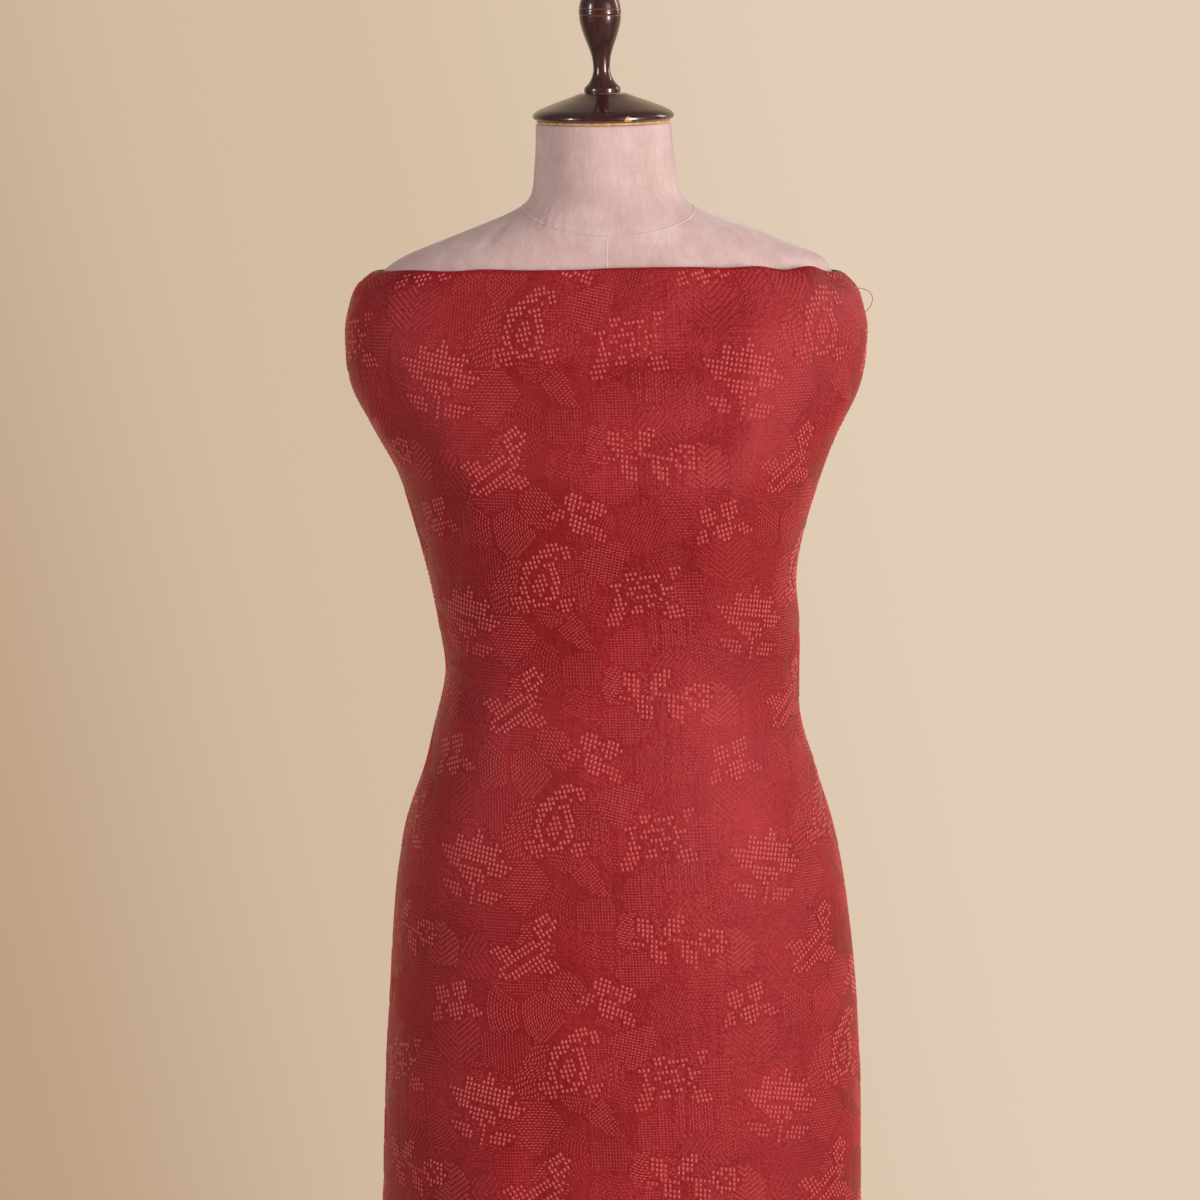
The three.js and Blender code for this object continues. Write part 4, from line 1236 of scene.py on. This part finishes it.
def velvetMaterial():
    material, tree = newMaterial("paleVelvet")
    place = objectPlace(tree)
    streaks = noiseOf(tree, place, 0.55, (1, 1, 0.09), 3, 0.6)
    fine = noiseOf(tree, place, 1.5, (1, 1, 0.5))
    crush = noiseOf(tree, place, 0.045, (1, 1, 0.7), 4, 0.6)
    mixed = sharesOf(tree, (streaks, 0.22), (crush, 0.5), (fine, 0.28))
    colour = rampOf(tree, mixed, [(0.36, velvet["pileDark"]), (0.5, velvet["pile"]),
                                  (0.64, velvet["pileLight"])])
    # lighter along the seams: the seam, with a painted sheen on its edges; the bump is the seam's own ridge
    onSeamAndSheen = mathOf(tree, "MAXIMUM", *(nearLine(tree, name, velvet["seamWidth"])
                                       for name in ("neckSeam", "panelSeam")))
    colour = mixOf(tree, mathOf(tree, "MULTIPLY", onSeamAndSheen, velvet["seamSheenShare"]), colour, velvet["seam"])
    onSpot = addNode(tree, "ShaderNodeMapRange", {
        "Value": distanceTo(tree, place, velvet["spotAt"]), "From Min": velvet["spotSize"], "From Max": 0,
        "To Max": velvet["spotShare"]}).outputs["Result"]
    bump = bumpOf(tree, streaks, 0.3, 0.0005, bumpOf(tree, onSeamAndSheen, 0.7, 0.0006))
    return finishMaterial(material, {
        "Base Color": mixOf(tree, onSpot, colour, velvet["spot"]),
        "Normal": bumpOf(tree, fine, 0.35, 0.0003, bump),
        "Roughness": 0.9, "Specular IOR Level": 0.15,
        "Sheen Weight": 0.6, "Sheen Roughness": 0.4, "Sheen Tint": (1.0, 0.95, 0.96, 1),
    })


def paleThreadMaterial():
    material, tree = newMaterial("paleThread")
    twist = noiseOf(tree, objectPlace(tree), 1.8, (1, 1, 1), 1)
    colour = rampOf(tree, twist, [(0.3, velvet["threadDark"]), (0.7, velvet["threadLight"])])
    return finishMaterial(material, {"Base Color": colour, "Roughness": 0.6})


def woodGrain(tree, dark, light, stretch, scale):
    grain = noiseOf(tree, objectPlace(tree), scale, stretch, 4, 0.6)
    return grain, rampOf(tree, grain, [(0.35, dark), (0.68, light)])


def woodMaterial(name):
    wood = woods[name]
    material, tree = newMaterial(name)
    grain, colour = woodGrain(tree, wood["dark"], wood["light"], wood["stretch"], wood["scale"])
    normal = bumpOf(tree, grain, wood["bump"], 0.0004)
    return finishMaterial(material, {"Base Color": colour, "Normal": normal, **wood["finish"]})


def lacquerMaterial():
    material, tree = newMaterial("darkLacquer")
    place = objectPlace(tree)
    colour = woodGrain(tree, lacquer["deep"], lacquer["warm"], (1, 1, 0.09), 0.35)[1]
    height = addNode(tree, "ShaderNodeSeparateXYZ", {"Vector": place}).outputs["Z"]
    foot = dressForm["neckTop"] + turnedPieces["finialKnob"]["up"]
    worn = 0
    for groove in lacquer["grooves"]:
        away = mathOf(tree, "ABSOLUTE", mathOf(tree, "SUBTRACT", height, foot + groove))
        worn = mathOf(tree, "MAXIMUM", mathOf(tree, "LESS_THAN", away, lacquer["grooveHalf"]), worn)
    colour = mixOf(tree, worn, colour, lacquer["groove"])
    ragged = swayOf(tree, noiseOf(tree, place, 0.6), lacquer["chipRagged"])
    away = mathOf(tree, "ADD", distanceTo(tree, place, lacquer["chipAt"]), ragged)
    onChip = mathOf(tree, "LESS_THAN", away, lacquer["chipSize"])
    return finishMaterial(material, {
        "Base Color": mixOf(tree, onChip, colour, lacquer["chip"]),
        "Normal": bumpOf(tree, noiseOf(tree, place, 0.08), 0.12, 0.001),
        "Roughness": 0.3, "Coat Weight": 0.8, "Coat Roughness": 0.08,
    })


def steelMaterial():
    material, tree = newMaterial("paintedSteel")
    speck = noiseOf(tree, objectPlace(tree), 1.2, (1, 1, 1), 3, 0.6)
    colour = rampOf(tree, speck, [(0.3, (0.022, 0.020, 0.019)), (0.7, (0.040, 0.037, 0.035))])
    return finishMaterial(material, {"Base Color": colour, "Roughness": 0.36,
                                     "Normal": bumpOf(tree, speck, 0.15, 0.0002)})


dressFormPiece.data.materials.append(velvetMaterial())
seamStitches.data.materials.append(paleThreadMaterial())
finishes = {"lacquer": lacquerMaterial(), "bare_wood": woodMaterial("bareWood"),
            "dark_wood": woodMaterial("darkWood"), "steel": steelMaterial()}
for name, made in turnedPieces.items():
    turned[name].data.materials.append(finishes[made["slot"]])
hipBoard.data.materials.append(finishes["dark_wood"])
print("materials")
